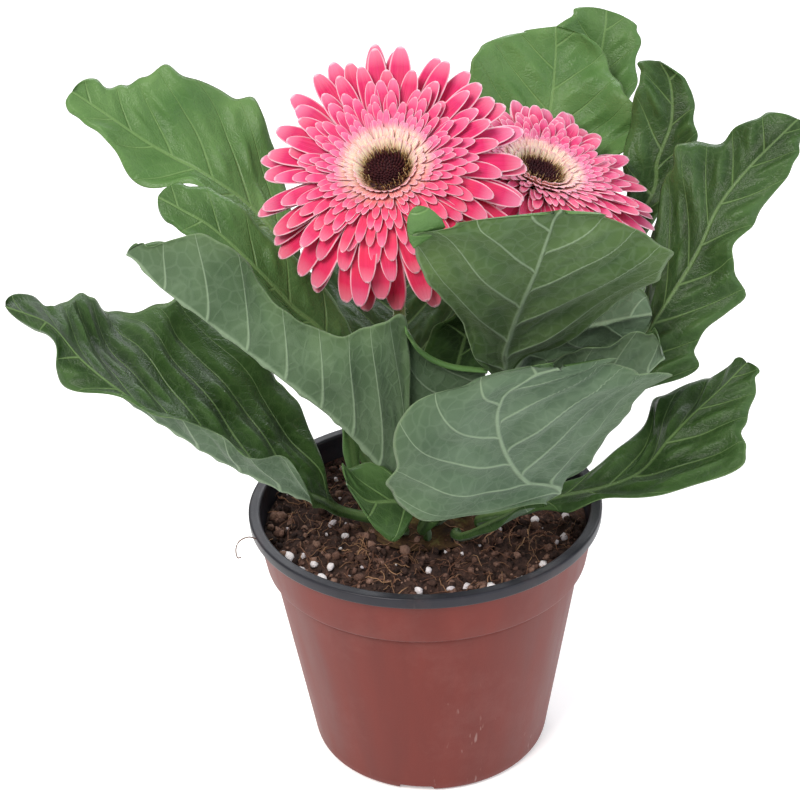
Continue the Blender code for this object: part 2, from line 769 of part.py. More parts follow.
def build_flower(name, flower, materials):
    build_scape(name + "_scape", flower, materials["stem"])
    head = bpy.data.objects.new(name + "_head", None)
    head.matrix_world = head_frame(flower)
    bpy.context.scene.collection.objects.link(head)
    build_bracts(name + "_bracts", RINGS_BOTTOM, head, materials["bract"])
    for index, row in enumerate(PETAL_ROWS):
        level = RINGS_BOTTOM + index * ROW_STEP
        build_petal_row(f"{name}_{row['name']}", flower, row, level, head, materials[row["kind"]])
    disc_bottom = RINGS_BOTTOM + 3 * ROW_STEP + 0.3 + GAP / PLANT_SCALE
    build_disc(name + "_disc", disc_bottom, head, materials["disc"])


def build():
    clear_scene()
    leaf_material = make_material("leaf", (0.10, 0.25, 0.06), 0.45)
    materials = {
        "stem": make_material("scape", (0.30, 0.42, 0.15), 0.5),
        "bract": make_material("bract", (0.13, 0.26, 0.07), 0.55),
        "ray": make_material("ray_petal", (0.86, 0.06, 0.20), 0.5),
        "floret": make_material("floret_petal", (0.90, 0.28, 0.40), 0.5),
        "disc": make_material("disc", (0.05, 0.008, 0.012), 0.6),
    }
    build_pot(make_material("pot", (0.24, 0.06, 0.04), 0.45))
    build_soil(make_material("soil", (0.045, 0.02, 0.012), 0.95))
    build_crown(make_material("crown", (0.16, 0.10, 0.05), 0.8))
    for name, leaf in LEAVES.items():
        build_leaf(name, leaf, leaf_material)
    for name, flower in FLOWERS.items():
        build_flower(name, flower, materials)


build()
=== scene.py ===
from math import cos, pi, radians, sin, tau

import bmesh
import bpy
import numpy as np
from mathutils import Matrix, Vector


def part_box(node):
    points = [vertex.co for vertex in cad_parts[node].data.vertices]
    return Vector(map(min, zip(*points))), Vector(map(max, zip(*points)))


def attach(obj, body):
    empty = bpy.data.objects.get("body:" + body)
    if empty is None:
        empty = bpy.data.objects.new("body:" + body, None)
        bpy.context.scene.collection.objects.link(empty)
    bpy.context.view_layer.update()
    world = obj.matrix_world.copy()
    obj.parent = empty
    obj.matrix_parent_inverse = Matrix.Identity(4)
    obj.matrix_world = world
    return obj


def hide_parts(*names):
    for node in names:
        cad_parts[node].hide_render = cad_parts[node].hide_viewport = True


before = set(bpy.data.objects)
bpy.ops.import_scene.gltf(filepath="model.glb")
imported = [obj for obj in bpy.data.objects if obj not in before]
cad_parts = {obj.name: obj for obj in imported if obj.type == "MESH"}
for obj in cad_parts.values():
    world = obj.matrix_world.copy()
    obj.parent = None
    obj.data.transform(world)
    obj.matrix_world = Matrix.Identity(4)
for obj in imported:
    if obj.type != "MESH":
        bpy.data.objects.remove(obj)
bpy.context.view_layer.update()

# Lengths in this script are millimetres until a mesh is made. +Z is up and -Y is the plant's front.
MM = 0.001


# ---------------------------------------------------------------------------
# The plant's shape: stalk and blade of each leaf, and the two flowers. A blade is rows of points on
# its left edge, its midrib and its right edge, seen from its upper side.

LEAVES = {
    "leaf_front": {
        "stalk": [(10, -18, 95.1), (15, -25, 101)],
        "blade": [
            [(47, -34, 127), (44, -38, 125), (39, -42, 124)],
            [(57, -36, 138), (33, -48, 136), (15, -54, 126)],
            [(68, -42, 158), (26, -58, 152), (-7, -60, 134)],
            [(74, -48, 169), (23, -66, 168), (-11, -64, 153)],
            [(76, -54, 178), (25, -70, 179), (-6, -68, 172)],
            [(59, -62, 185), (32, -72, 185), (9, -70, 181)],
        ],
        "tip": (42, -70, 187),
    },
    "leaf_centre": {
        "stalk": [(3, -10, 95.1), (8, -14, 106)],
        "blade": [
            [(29, -20, 159), (26, -20, 157), (23, -22, 156)],
            [(46, -28, 177), (28, -30, 176), (16, -32, 178)],
            [(68, -36, 196), (32, -40, 195), (9, -42, 199)],
            [(78, -44, 210), (36, -48, 210), (2, -50, 215)],
            [(73, -50, 220), (39, -54, 223), (-2, -56, 228)],
            [(58, -54, 230), (41, -57, 231), (7, -56, 230)],
        ],
        "tip": (43, -58, 234),
    },
    "leaf_front_left": {
        "stalk": [(-8, -15, 95.1), (-11, -20, 101)],
        "blade": [
            [(-6, -30, 140), (-13, -28, 128), (-13, -20, 130)],
            [(-6, -34, 189), (-26, -34, 151), (-24, -12, 159)],
            [(-25, -36, 185), (-40, -38, 167), (-36, -10, 177)],
            [(-44, -36, 194), (-55, -40, 182), (-51, -10, 192)],
            [(-55, -36, 213), (-70, -42, 197), (-66, -14, 207)],
            [(-69, -38, 222), (-81, -42, 207), (-79, -26, 215)],
            [(-83, -40, 219), (-87, -41, 214), (-86, -34, 218)],
        ],
        "tip": (-91, -40, 217),
    },
    "leaf_low_front": {
        "stalk": [(-1, -19, 95.1), (-3, -24, 101)],
        "blade": [
            [(2, -25, 119), (2, -28, 114), (2, -30, 111)],
            [(-5, -40, 113), (-9, -36, 121), (-13, -32, 132)],
            [(-12, -46, 113), (-19, -42, 125), (-24, -36, 135)],
        ],
        "tip": (-26, -42, 132),
    },
    "leaf_left_low": {
        "stalk": [(-15, -9, 95.1), (-20, -12, 101), (-30, -20, 109)],
        "blade": [
            [(-36, -34, 121), (-36, -29, 119), (-33, -20, 120)],
            [(-44, -50, 147), (-47, -38, 130), (-43, -2, 144)],
            [(-62, -54, 156), (-67, -44, 146), (-59, 8, 161)],
            [(-78, -50, 165), (-81, -44, 157), (-81, 10, 178)],
            [(-100, -46, 170), (-97, -42, 169), (-101, 4, 179)],
            [(-117, -42, 175), (-110, -36, 178), (-113, 0, 185)],
            [(-120, -34, 185), (-121, -30, 189), (-122, -14, 191)],
        ],
        "tip": (-137, -22, 192),
    },
    "leaf_left_mid": {
        "stalk": [(-17, 0, 95.1), (-24, -1, 110)],
        "blade": [
            [(-33, -6, 160), (-30, -4, 163), (-23, 3, 166)],
            [(-47, -7, 178), (-44, -3, 181), (-36, 5, 189)],
            [(-58, -7, 192), (-57, -2, 197), (-52, 5, 206)],
            [(-71, -5, 204), (-69, 0, 209), (-65, 8, 218)],
            [(-80, -3, 210), (-79, 2, 215), (-75, 8, 222)],
        ],
        "tip": (-87, 4, 219),
    },
    "leaf_back_left": {
        "stalk": [(-13, 8, 95.1), (-25, 13, 120), (-40, 18, 158)],
        "blade": [
            [(-46, 6, 190), (-44, 11, 192), (-41, 19, 193)],
            [(-60, 12, 206), (-58, 22, 208), (-50, 46, 226)],
            [(-75, 16, 218), (-74, 27, 219), (-63, 50, 240)],
            [(-91, 19, 220), (-85, 31, 224), (-78, 48, 249)],
            [(-102, 23, 228), (-95, 33, 230), (-91, 46, 250)],
            [(-113, 29, 239), (-108, 34, 240), (-104, 41, 247)],
        ],
        "tip": (-118, 35, 247),
    },
    "leaf_back_low": {
        "stalk": [(-5, 17, 95.1), (-6, 30, 112)],
        "blade": [
            [(-14, 48, 128), (-6, 46, 126), (4, 48, 128)],
            [(-36, 70, 150), (-8, 68, 142), (24, 72, 150)],
            [(-42, 95, 162), (-10, 92, 154), (30, 96, 162)],
            [(-30, 118, 165), (-10, 116, 160), (16, 118, 166)],
        ],
        "tip": (-10, 134, 160),
    },
    "leaf_back_right_low": {
        "stalk": [(14, 17, 95.1), (22, 28, 111)],
        "blade": [
            [(27, 41, 125), (31, 36, 123), (36, 33, 124)],
            [(34, 63, 144), (46, 52, 137), (61, 41, 144)],
            [(46, 83, 151), (60, 68, 145), (80, 53, 154)],
            [(57, 97, 150), (71, 84, 145), (87, 72, 151)],
        ],
        "tip": (82, 98, 139),
    },
    "leaf_back_centre": {
        "stalk": [(4, 11, 95.1), (18, 40, 140)],
        "blade": [
            [(36, 60, 186), (44, 62, 188), (55, 62, 190)],
            [(24, 78, 209), (48, 80, 205), (83, 72, 210)],
            [(20, 82, 227), (52, 87, 218), (86, 76, 218)],
            [(22, 88, 238), (54, 93, 230), (77, 84, 229)],
            [(30, 94, 244), (55, 98, 239), (74, 92, 236)],
            [(42, 98, 246), (55, 100, 245), (68, 95, 243)],
        ],
        "tip": (55, 101, 247),
    },
    "leaf_back_high": {
        "stalk": [(6, 20, 95.1), (34, 56, 150)],
        "blade": [
            [(62, 92, 201), (66, 94, 200), (73, 92, 200)],
            [(56, 103, 229), (70, 102, 220), (85, 98, 222)],
            [(54, 108, 240), (73, 108, 231), (86, 104, 232)],
            [(61, 112, 247), (75, 111, 242), (88, 107, 241)],
        ],
        "tip": (76, 115, 249),
    },
    "leaf_back_right": {
        "stalk": [(18, 9, 95.1), (47, 36, 145)],
        "blade": [
            [(75, 54, 186), (85, 57, 189), (93, 55, 191)],
            [(77, 63, 208), (90, 62, 206), (102, 59, 210)],
            [(82, 68, 225), (95, 66, 219), (103, 63, 221)],
            [(84, 71, 236), (95, 71, 232), (101, 67, 230)],
        ],
        "tip": (91, 74, 240),
    },
    "leaf_right": {
        "stalk": [(18, 3, 95.1), (34, 5, 109)],
        "blade": [
            [(61, 11, 139), (64, 5, 137), (68, 0, 137)],
            [(69, 24, 155), (77, 10, 153), (96, 0, 151)],
            [(79, 33, 169), (84, 15, 163), (99, 8, 159)],
            [(86, 39, 188), (94, 20, 177), (113, 10, 175)],
            [(89, 43, 203), (100, 24, 186), (110, 16, 188)],
            [(94, 48, 215), (107, 30, 199), (118, 22, 197)],
            [(108, 47, 219), (117, 34, 211), (130, 28, 211)],
            [(120, 44, 226), (127, 36, 221), (135, 33, 221)],
        ],
        "tip": (135, 38, 228),
    },
    "leaf_right_mid": {
        "stalk": [(13, -4, 95.1), (29, -7, 116)],
        "blade": [
            [(41, 3, 151), (39, -12, 146), (40, -16, 154)],
            [(58, -3, 160), (56, -20, 154), (54, -22, 172)],
            [(69, -8, 167), (67, -26, 161), (64, -28, 176)],
            [(77, -12, 172), (75, -30, 166), (73, -32, 180)],
        ],
        "tip": (80, -32, 171),
    },
    "leaf_right_low": {
        "stalk": [(18, -11, 95.1), (24, -13, 101), (35, -16, 105)],
        "blade": [
            [(50, -12, 113), (48, -20, 112), (47, -26, 112)],
            [(63, -8, 121), (62, -22, 116), (62, -34, 119)],
            [(78, 0, 126), (75, -22, 122), (80, -40, 127)],
            [(82, 6, 139), (85, -18, 132), (108, -40, 135)],
            [(95, 6, 141), (93, -14, 139), (108, -26, 141)],
            [(101, 4, 146), (101, -12, 146), (113, -20, 148)],
            [(107, 0, 153), (108, -10, 152), (115, -14, 152)],
        ],
        "tip": (113, -8, 156),
    },
    "leaf_inner_left": {
        "stalk": [(4, -3, 95.1), (6, -2, 112)],
        "blade": [
            [(1, -1, 134), (8, 0, 134), (14, 1, 133)],
            [(0, -3, 150), (12, -1, 151), (23, 1, 149)],
            [(3, -6, 166), (16, -4, 168), (29, -2, 164)],
            [(10, -9, 176), (20, -8, 179), (29, -6, 176)],
        ],
        "tip": (22, -10, 184),
    },
    "leaf_inner_right": {
        "stalk": [(9, 3, 95.1), (24, 5, 125)],
        "blade": [
            [(40, 10, 150), (38, 4, 160), (44, 14, 164)],
            [(56, 6, 155), (55, 0, 167), (58, 14, 177)],
            [(70, 2, 161), (68, -2, 171), (68, 10, 181)],
        ],
        "tip": (80, -4, 174),
    },
}

# Each flower: the bends of its scape below the head, where the head's centre is, which way it faces,
# and how far its rays bend at the front, at the back and at the sides, in degrees from the head's plane.
FLOWERS = {
    "front_flower": {
        "scape": [(-4, -1, 95.1), (-6, 2, 135), (-7, 5, 180)],
        "centre": (-9, -3, 227),
        "facing": (-0.15, -0.58, 0.80),
        "bend": (-60, 15, -20),
        "left_dip": 0,
    },
    "rear_flower": {
        "scape": [(0, 4, 95.1), (12, 18, 135), (28, 28, 172)],
        "centre": (43, 30, 212),
        "facing": (0.34, -0.22, 0.91),
        "bend": (-24, 6, -10),
        "left_dip": -34,
    },
}


# ---------------------------------------------------------------------------
# Meshes


def unit(vectors):
    vectors = np.asarray(vectors, float)
    return vectors / np.maximum(np.linalg.norm(vectors, axis=-1, keepdims=True), 1e-9)


def smooth_step(value, low, high):
    part = np.clip((np.asarray(value, float) - low) / (high - low), 0, 1)
    return part * part * (3 - 2 * part)


def smooth_path(points, at):
    """Points on a curve through the given ones; a whole number in at is one of them."""
    points = np.asarray(points, float)
    last = len(points) - 1
    padded = np.vstack([2 * points[0] - points[1], points, 2 * points[-1] - points[-2]])
    at = np.clip(np.asarray(at, float), 0, last - 1e-9)
    step = at.astype(int)
    part = (at - step)[:, None]
    before, here, there, after = (padded[step + k] for k in range(4))
    return 0.5 * (
        2 * here
        + (there - before) * part
        + (2 * before - 5 * here + 4 * there - after) * part**2
        + (3 * here - before - 3 * there + after) * part**3
    )


def grid_faces(rows, columns, closed=False):
    """Quads over a grid of points in row order; closed joins the last column to the first."""
    faces = []
    for row in range(rows - 1):
        for column in range(columns if closed else columns - 1):
            here, after = row * columns + column, row * columns + (column + 1) % columns
            faces.append((here, after, after + columns, here + columns))
    return faces


def capped_faces(rows, sides):
    """Quads round a stack of rings, and a face at each end."""
    first = tuple(range(sides))
    last = tuple((rows - 1) * sides + k for k in range(sides))
    return [*grid_faces(rows, sides, closed=True), first[::-1], last]


def circle(sides):
    """The cosines and sines of evenly spaced angles."""
    angle = tau * np.arange(sides) / sides
    return np.cos(angle), np.sin(angle)


def tube(path, radius, sides, across):
    """Rings of points round a path that nowhere runs along the direction across, and their faces."""
    along = unit(np.gradient(path, axis=0))
    first = unit(np.cross(along, across))
    second = np.cross(along, first)
    c, s = circle(sides)
    rings = first[:, None] * c[None, :, None] + second[:, None] * s[None, :, None]
    return path[:, None] + radius[..., None] * rings, capped_faces(len(path), sides)


def strand(path, radius, sides=5):
    """Points and faces of a thin tube with the given radius at each point of its path."""
    path = np.asarray(path, float)
    along = unit(np.gradient(path, axis=0))
    across = np.where(np.abs(along[:, 2:]) > 0.9, (1.0, 0.0, 0.0), (0.0, 0.0, 1.0))
    radius = np.asarray(radius, float) * np.ones(len(path))
    rings, faces = tube(path, radius[:, None], sides, across)
    return rings.reshape(-1, 3), faces


def new_object(name, data):
    """An object in the scene that holds this mesh, light or camera."""
    obj = bpy.data.objects.new(name, data)
    bpy.context.scene.collection.objects.link(obj)
    return obj


def mesh_from(shape, name):
    """The mesh made from a bmesh, which is then freed."""
    mesh = bpy.data.meshes.new(name)
    shape.to_mesh(mesh)
    shape.free()
    return mesh


def ride_root(obj, stands_for=None):
    """Every piece rides on the one rigid body, and may stand for a node."""
    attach(obj, "root")
    if stands_for:
        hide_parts(stands_for)
    return obj


def add_piece(name, points, faces, materials, stands_for=None, face_finish=None, marks=None):
    """A smooth-shaded piece of the plant or its soil; marks are the values each point carries."""
    mesh = bpy.data.meshes.new(name)
    mesh.from_pydata((np.asarray(points) * MM).tolist(), [], faces)
    for finish in materials:
        mesh.materials.append(finish)
    if face_finish is not None:
        mesh.polygons.foreach_set("material_index", np.asarray(face_finish, np.int32))
    for mark, values in (marks or {}).items():
        layer = mesh.attributes.new(mark, "FLOAT_VECTOR", "POINT")
        layer.data.foreach_set("vector", np.asarray(values, np.float32).ravel())
    mesh.shade_smooth()
    return ride_root(new_object(name, mesh), stands_for)


def thicken(obj, thickness):
    """Gives an open sheet its thickness, half on each side."""
    modifier = obj.modifiers.new("thickness", "SOLIDIFY")
    modifier.thickness = thickness * MM
    modifier.offset = 0.0


class Mass:
    """Collects many small shapes into the points, faces and marks of one piece."""

    def __init__(self):
        self.points, self.faces, self.marks = [], [], []
        self.count = 0

    def add(self, points, faces, marks):
        points = np.asarray(points, float)
        self.points.append(points)
        self.faces.extend(tuple(self.count + k for k in face) for face in faces)
        self.marks.append(np.broadcast_to(np.asarray(marks, float), points.shape))
        self.count += len(points)

    def finish(self, name, finish, slot, stands_for=None):
        shades = np.concatenate(self.marks)
        points = np.concatenate(self.points)
        add_piece(name, points, self.faces, [finish], stands_for, marks={"shade": shades})


# ---------------------------------------------------------------------------
# Materials


def colour(code):
    """An sRGB hex value as linear red, green, blue and alpha."""
    values = [int(code[k : k + 2], 16) / 255 for k in (1, 3, 5)]
    return [v / 12.92 if v <= 0.04045 else ((v + 0.055) / 1.055) ** 2.4 for v in values] + [1.0]


def output_of(value):
    if not isinstance(value, bpy.types.Node):
        return value
    return value.outputs[2 if value.bl_idname == "ShaderNodeMix" and value.data_type == "RGBA" else 0]


def add(tree, kind, settings=None, inputs=None, stops=None):
    """Adds a node with its settings, with a value or a link on each named socket, and a ramp's stops."""
    made = tree.nodes.new("ShaderNode" + kind)
    for name, value in (settings or {}).items():
        setattr(made, name, value)
    for socket, value in (inputs or {}).items():
        value = output_of(value)
        if isinstance(value, bpy.types.NodeSocket):
            tree.links.new(value, made.inputs[socket])
        else:
            made.inputs[socket].default_value = value
    for k, (place, code) in enumerate(stops or []):
        ramp = made.color_ramp.elements
        stop = ramp[k] if k < 2 else ramp.new(place)
        stop.position = place
        stop.color = colour(code)
    return made


def start_material(name, roughness, ior=1.5, specular=0.5, sheen=0.0):
    """An empty material with its Principled shader; uniform values sit on the shader's own sockets."""
    made = bpy.data.materials.new(name)
    made.use_nodes = True
    tree = made.node_tree
    shader = tree.nodes["Principled BSDF"]
    shader.inputs["Roughness"].default_value = roughness
    shader.inputs["IOR"].default_value = ior
    shader.inputs["Specular IOR Level"].default_value = specular
    shader.inputs["Sheen Weight"].default_value = sheen
    shader.inputs["Sheen Roughness"].default_value = 0.45
    return made, tree, shader


def finish_material(tree, shader, base, height, strength, depth, roughness=None):
    """Joins a base colour, a bump of the given strength and depth in metres, and maybe a roughness."""
    tree.links.new(output_of(base), shader.inputs["Base Color"])
    bump = add(tree, "Bump", inputs={"Strength": strength, "Distance": depth, "Height": height})
    tree.links.new(output_of(bump), shader.inputs["Normal"])
    if roughness is not None:
        tree.links.new(output_of(roughness), shader.inputs["Roughness"])


def marks_of(tree, name):
    """The three values that each point carries under this name."""
    mark = add(tree, "Attribute", {"attribute_name": name}).outputs["Vector"]
    return add(tree, "SeparateXYZ", inputs={0: mark}).outputs


# Settings that many nodes share.
COLOURS = {"data_type": "RGBA"}
TIMES = {"operation": "MULTIPLY"}
PLUS = {"operation": "ADD"}
TIMES_PLUS = {"operation": "MULTIPLY_ADD"}
SMOOTH = {"interpolation_type": "SMOOTHSTEP"}


def vein_lines(tree):
    """Where the veins run on a leaf, from 0 to 1: its midrib, the side veins and the fine net between."""
    order, from_midrib, half_width = marks_of(tree, "leaf_veins")
    turn = add(tree, "Math", PLUS, {0: order, 1: 0.5})
    turn = add(tree, "Math", {"operation": "FRACT"}, {0: turn})
    turn = add(tree, "Math", {"operation": "SUBTRACT"}, {0: turn, 1: 0.5})
    turn = add(tree, "Math", {"operation": "ABSOLUTE"}, {0: turn})
    turn = add(tree, "Math", {"operation": "DIVIDE"}, {0: turn, 1: half_width})
    side_veins = add(tree, "MapRange", SMOOTH, {0: turn, 1: 0.3, 2: 1.5, 3: 1.0, 4: 0.0})
    midrib = add(tree, "MapRange", SMOOTH, {0: from_midrib, 1: 0.4, 2: 1.3, 3: 1.0, 4: 0.0})
    main = add(tree, "Math", {"operation": "MAXIMUM"}, {0: side_veins, 1: midrib})
    # The net has meshes of about 4 mm, each vein in it 0.3 mm wide.
    place = add(tree, "Attribute", {"attribute_name": "leaf_place"}).outputs["Vector"]
    drift = add(tree, "TexNoise", inputs={"Vector": place, "Scale": 0.12, "Detail": 2.0}).outputs["Color"]
    drifted = add(tree, "VectorMath", TIMES_PLUS, {0: drift, 1: (4.0, 4.0, 0.0), 2: place})
    meshes = {"Vector": drifted, "Scale": 1 / 4.2, "Randomness": 0.85}
    net = add(tree, "TexVoronoi", {"feature": "DISTANCE_TO_EDGE"}, meshes)
    net = add(tree, "MapRange", SMOOTH, {0: net, 1: 0.0, 2: 0.14, 3: 1.0, 4: 0.0})
    return place, main, net


def leaf_tissue(tree, clouds, net, veins, ramps, shares, layers):
    """The colour of a leaf's side: two ramps mixed by the leaf's tone, partly painted shade, under a layer
    of painted light and shade on its swellings, and layers for its net, its main veins and its margin."""
    swell, tone, part = marks_of(tree, "leaf_marks")
    low, high = (add(tree, "ValToRGB", inputs={0: clouds}, stops=stops) for stops in ramps)
    tissue = add(tree, "Mix", COLOURS, {0: tone, 6: low, 7: high})
    swell_light_and_shade, fine, main, margin = shares
    layer_shares = (
        add(tree, "MapRange", inputs={0: swell, 1: 0.2, 2: 1.2, 3: 0.0, 4: swell_light_and_shade}),
        add(tree, "Math", TIMES, {0: net, 1: fine}),
        add(tree, "Math", TIMES, {0: veins, 1: main}),
        add(tree, "MapRange", inputs={0: part, 1: 0.965, 2: 1.0, 3: 0.0, 4: margin}),
    )
    for share, code in zip(layer_shares, layers):
        tissue = add(tree, "Mix", COLOURS, {0: share, 6: tissue, 7: colour(code)})
    return tissue


def leaf_upper_side():
    # The upper side of a gerbera leaf: a thin waxy skin over deep green tissue. It gives a soft gloss in
    # patches, a painted highlight of lighter green on each swelling, slightly paler sunk veins, and green
    # that changes slowly across the blade.
    made, tree, shader = start_material("leaf_upper_side", 0.38, 1.45, 0.24)
    place, veins, net = vein_lines(tree)
    # The deep ramp shows at a low tone: partly painted shade, for leaves that lie in the plant's shade.
    deep = [(0.32, "#16280C"), (0.68, "#263F1A")]
    fresh = [(0.32, "#476A37"), (0.68, "#5E7F49")]
    # The first layer is a painted highlight: each swelling is painted a lighter green.
    shares = (0.30, 0.05, 0.34, 0.55)
    layers = ("#5F8447", "#7C9E60", "#809F62", "#86A46A")
    clouds = add(tree, "TexNoise", inputs={"Vector": place, "Scale": 1 / 22, "Detail": 3.0})
    skin = leaf_tissue(tree, clouds, net, veins, (deep, fresh), shares, layers)
    patches = add(tree, "TexNoise", inputs={"Vector": place, "Scale": 1 / 9, "Detail": 2.0})
    gloss = add(tree, "MapRange", inputs={0: patches, 1: 0.3, 2: 0.7, 3: 0.27, 4: 0.42})
    grain = add(tree, "TexNoise", inputs={"Vector": place, "Scale": 1.6, "Detail": 2.0})
    sunk = add(tree, "Math", TIMES_PLUS, {0: net, 1: -0.25, 2: grain})
    sunk = add(tree, "Math", TIMES_PLUS, {0: veins, 1: -1.4, 2: sunk})
    finish_material(tree, shader, skin, sunk, 0.6, 0.0004, gloss)
    return made


def leaf_underside():
    # The underside of the same leaf: covered in fine pale felt, so it is matte and grey-green, with the
    # veins standing out of it, paler and smoother.
    made, tree, shader = start_material("leaf_underside", 0.7, 1.4, 0.26, 0.1)
    place, veins, net = vein_lines(tree)
    cool = [(0.3, "#40543F"), (0.7, "#586C56")]
    warm = [(0.3, "#3A5228"), (0.7, "#50683A")]
    # The first layer is painted shade: the hollows of the swellings, seen from below, are painted a darker
    # green.
    shares = (0.35, 0.11, 0.55, 0.5)
    layers = ("#3F5A3C", "#82967C", "#8CA083", "#8FA87C")
    clouds = add(tree, "TexNoise", inputs={"Vector": place, "Scale": 1 / 18, "Detail": 4.0})
    felt = leaf_tissue(tree, clouds, net, veins, (cool, warm), shares, layers)
    nap = add(tree, "TexNoise", inputs={"Vector": place, "Scale": 2.2, "Detail": 3.0, "Roughness": 0.7})
    raised = add(tree, "Math", TIMES_PLUS, {0: net, 1: 0.5, 2: nap})
    raised = add(tree, "Math", TIMES_PLUS, {0: veins, 1: 1.8, 2: raised})
    finish_material(tree, shader, felt, raised, 0.6, 0.0004)
    return made


def stalk_skin(name, low, high):
    # A fleshy stalk covered in short hair: matte green with fine lengthwise grooves and a pale bloom.
    made, tree, shader = start_material(name, 0.6, 1.42, 0.4, 0.3)
    where = add(tree, "TexCoord").outputs["Object"]
    # The grooves are 0.7 mm apart and run upwards.
    long = add(tree, "VectorMath", TIMES, {0: where, 1: (1400.0, 1400.0, 60.0)})
    fibre = add(tree, "TexNoise", inputs={"Vector": long, "Scale": 1.0, "Detail": 3.0})
    green = add(tree, "ValToRGB", inputs={0: fibre}, stops=[(0.35, low), (0.65, high)])
    finish_material(tree, shader, green, fibre, 0.5, 0.0003)
    return made


def petal_skin(name, rings, edge, streak, edge_start):
    # A gerbera petal: velvety, with a thin pale margin, fine lengthwise veins, and a colour that goes
    # from cream beside the centre to deep pink at the rim of the flower.
    made, tree, shader = start_material(name, 0.52, 1.42, 0.3, 0.15)
    shader.inputs["Subsurface Weight"].default_value = 0.18
    shader.inputs["Subsurface Scale"].default_value = 0.001
    shader.inputs["Subsurface Radius"].default_value = (1.0, 0.35, 0.4)
    across, along, reach = marks_of(tree, "petal_place")
    hue, hang_shade, _ = marks_of(tree, "petal_marks")
    spread = add(tree, "MapRange", inputs={0: reach, 1: 0.0, 2: 50.0})
    flesh = add(tree, "ValToRGB", inputs={0: spread}, stops=rings)
    # Seven or so veins run the length of a petal.
    grain = add(tree, "CombineXYZ", inputs={0: across, 1: along, 2: hue})
    grain = add(tree, "VectorMath", TIMES, {0: grain, 1: (6.0, 1.0, 40.0)})
    veins = add(tree, "TexNoise", inputs={"Vector": grain, "Scale": 1.0, "Detail": 2.0})
    streaks = add(tree, "MapRange", inputs={0: veins, 1: 0.38, 2: 0.62, 3: 0.0, 4: 0.6})
    # Some petals are a deeper crimson than their neighbours, and those that hang are painted a darker red:
    # painted shade for petals turned away from the light.
    crimson = add(tree, "MapRange", inputs={0: hue, 1: 0.45, 2: 1.0, 3: 0.0, 4: 0.38})
    outer = add(tree, "MapRange", inputs={0: reach, 1: 16.0, 2: 26.0})
    crimson = add(tree, "Math", TIMES, {0: crimson, 1: outer})
    warm = add(tree, "MapRange", inputs={0: hang_shade, 3: 0.0, 4: 0.75})
    # The tips go mauve on some petals and fade a little on all of them.
    mauve = add(tree, "MapRange", inputs={0: along, 1: 0.72, 2: 1.0, 3: 0.0, 4: 1.0})
    mauve = add(tree, "Math", TIMES, {0: mauve, 1: hue})
    mauve = add(tree, "Math", TIMES, {0: mauve, 1: 0.5})
    fade = add(tree, "MapRange", inputs={0: along, 1: 0.82, 2: 1.0, 3: 0.0, 4: 0.28})
    side = add(tree, "Math", {"operation": "ABSOLUTE"}, {0: across})
    rim = add(tree, "MapRange", inputs={0: side, 1: edge_start, 2: 1.0})
    tip = add(tree, "MapRange", inputs={0: along, 1: 0.972, 2: 0.998})
    margin = add(tree, "Math", {"operation": "MAXIMUM"}, {0: rim, 1: tip})
    margin = add(tree, "Math", TIMES, {0: margin, 1: 0.8})
    for share, code in (
        (streaks, streak),
        (crimson, "#C21F55"),
        (warm, "#D92C4A"),
        (mauve, "#C7458F"),
        (fade, edge),
        (margin, edge),
    ):
        flesh = add(tree, "Mix", COLOURS, {0: share, 6: flesh, 7: colour(code)})
    finish_material(tree, shader, flesh, veins, 0.6, 0.0004)
    return made


def speckled(name, codes, roughness, size, strength=0.5, depth=0.0004, sheen=0.0):
    # A dull natural material whose pieces each have their own shade, from the mark on each piece, with a
    # fine grain of the given size in millimetres.
    made, tree, shader = start_material(name, roughness, 1.45, 0.3, sheen)
    shade = marks_of(tree, "shade")[0]
    where = add(tree, "TexCoord").outputs["Object"]
    scale = {"Vector": where, "Scale": 1 / (size * MM), "Detail": 4.0, "Roughness": 0.65}
    grain = add(tree, "TexNoise", inputs=scale)
    spread = add(tree, "MapRange", inputs={0: grain, 1: 0.3, 2: 0.7, 3: -0.22, 4: 0.22})
    level = add(tree, "Math", PLUS, {0: shade, 1: spread})
    tone = add(tree, "ValToRGB", inputs={0: level}, stops=codes)
    finish_material(tree, shader, tone, grain, strength, depth)
    return made


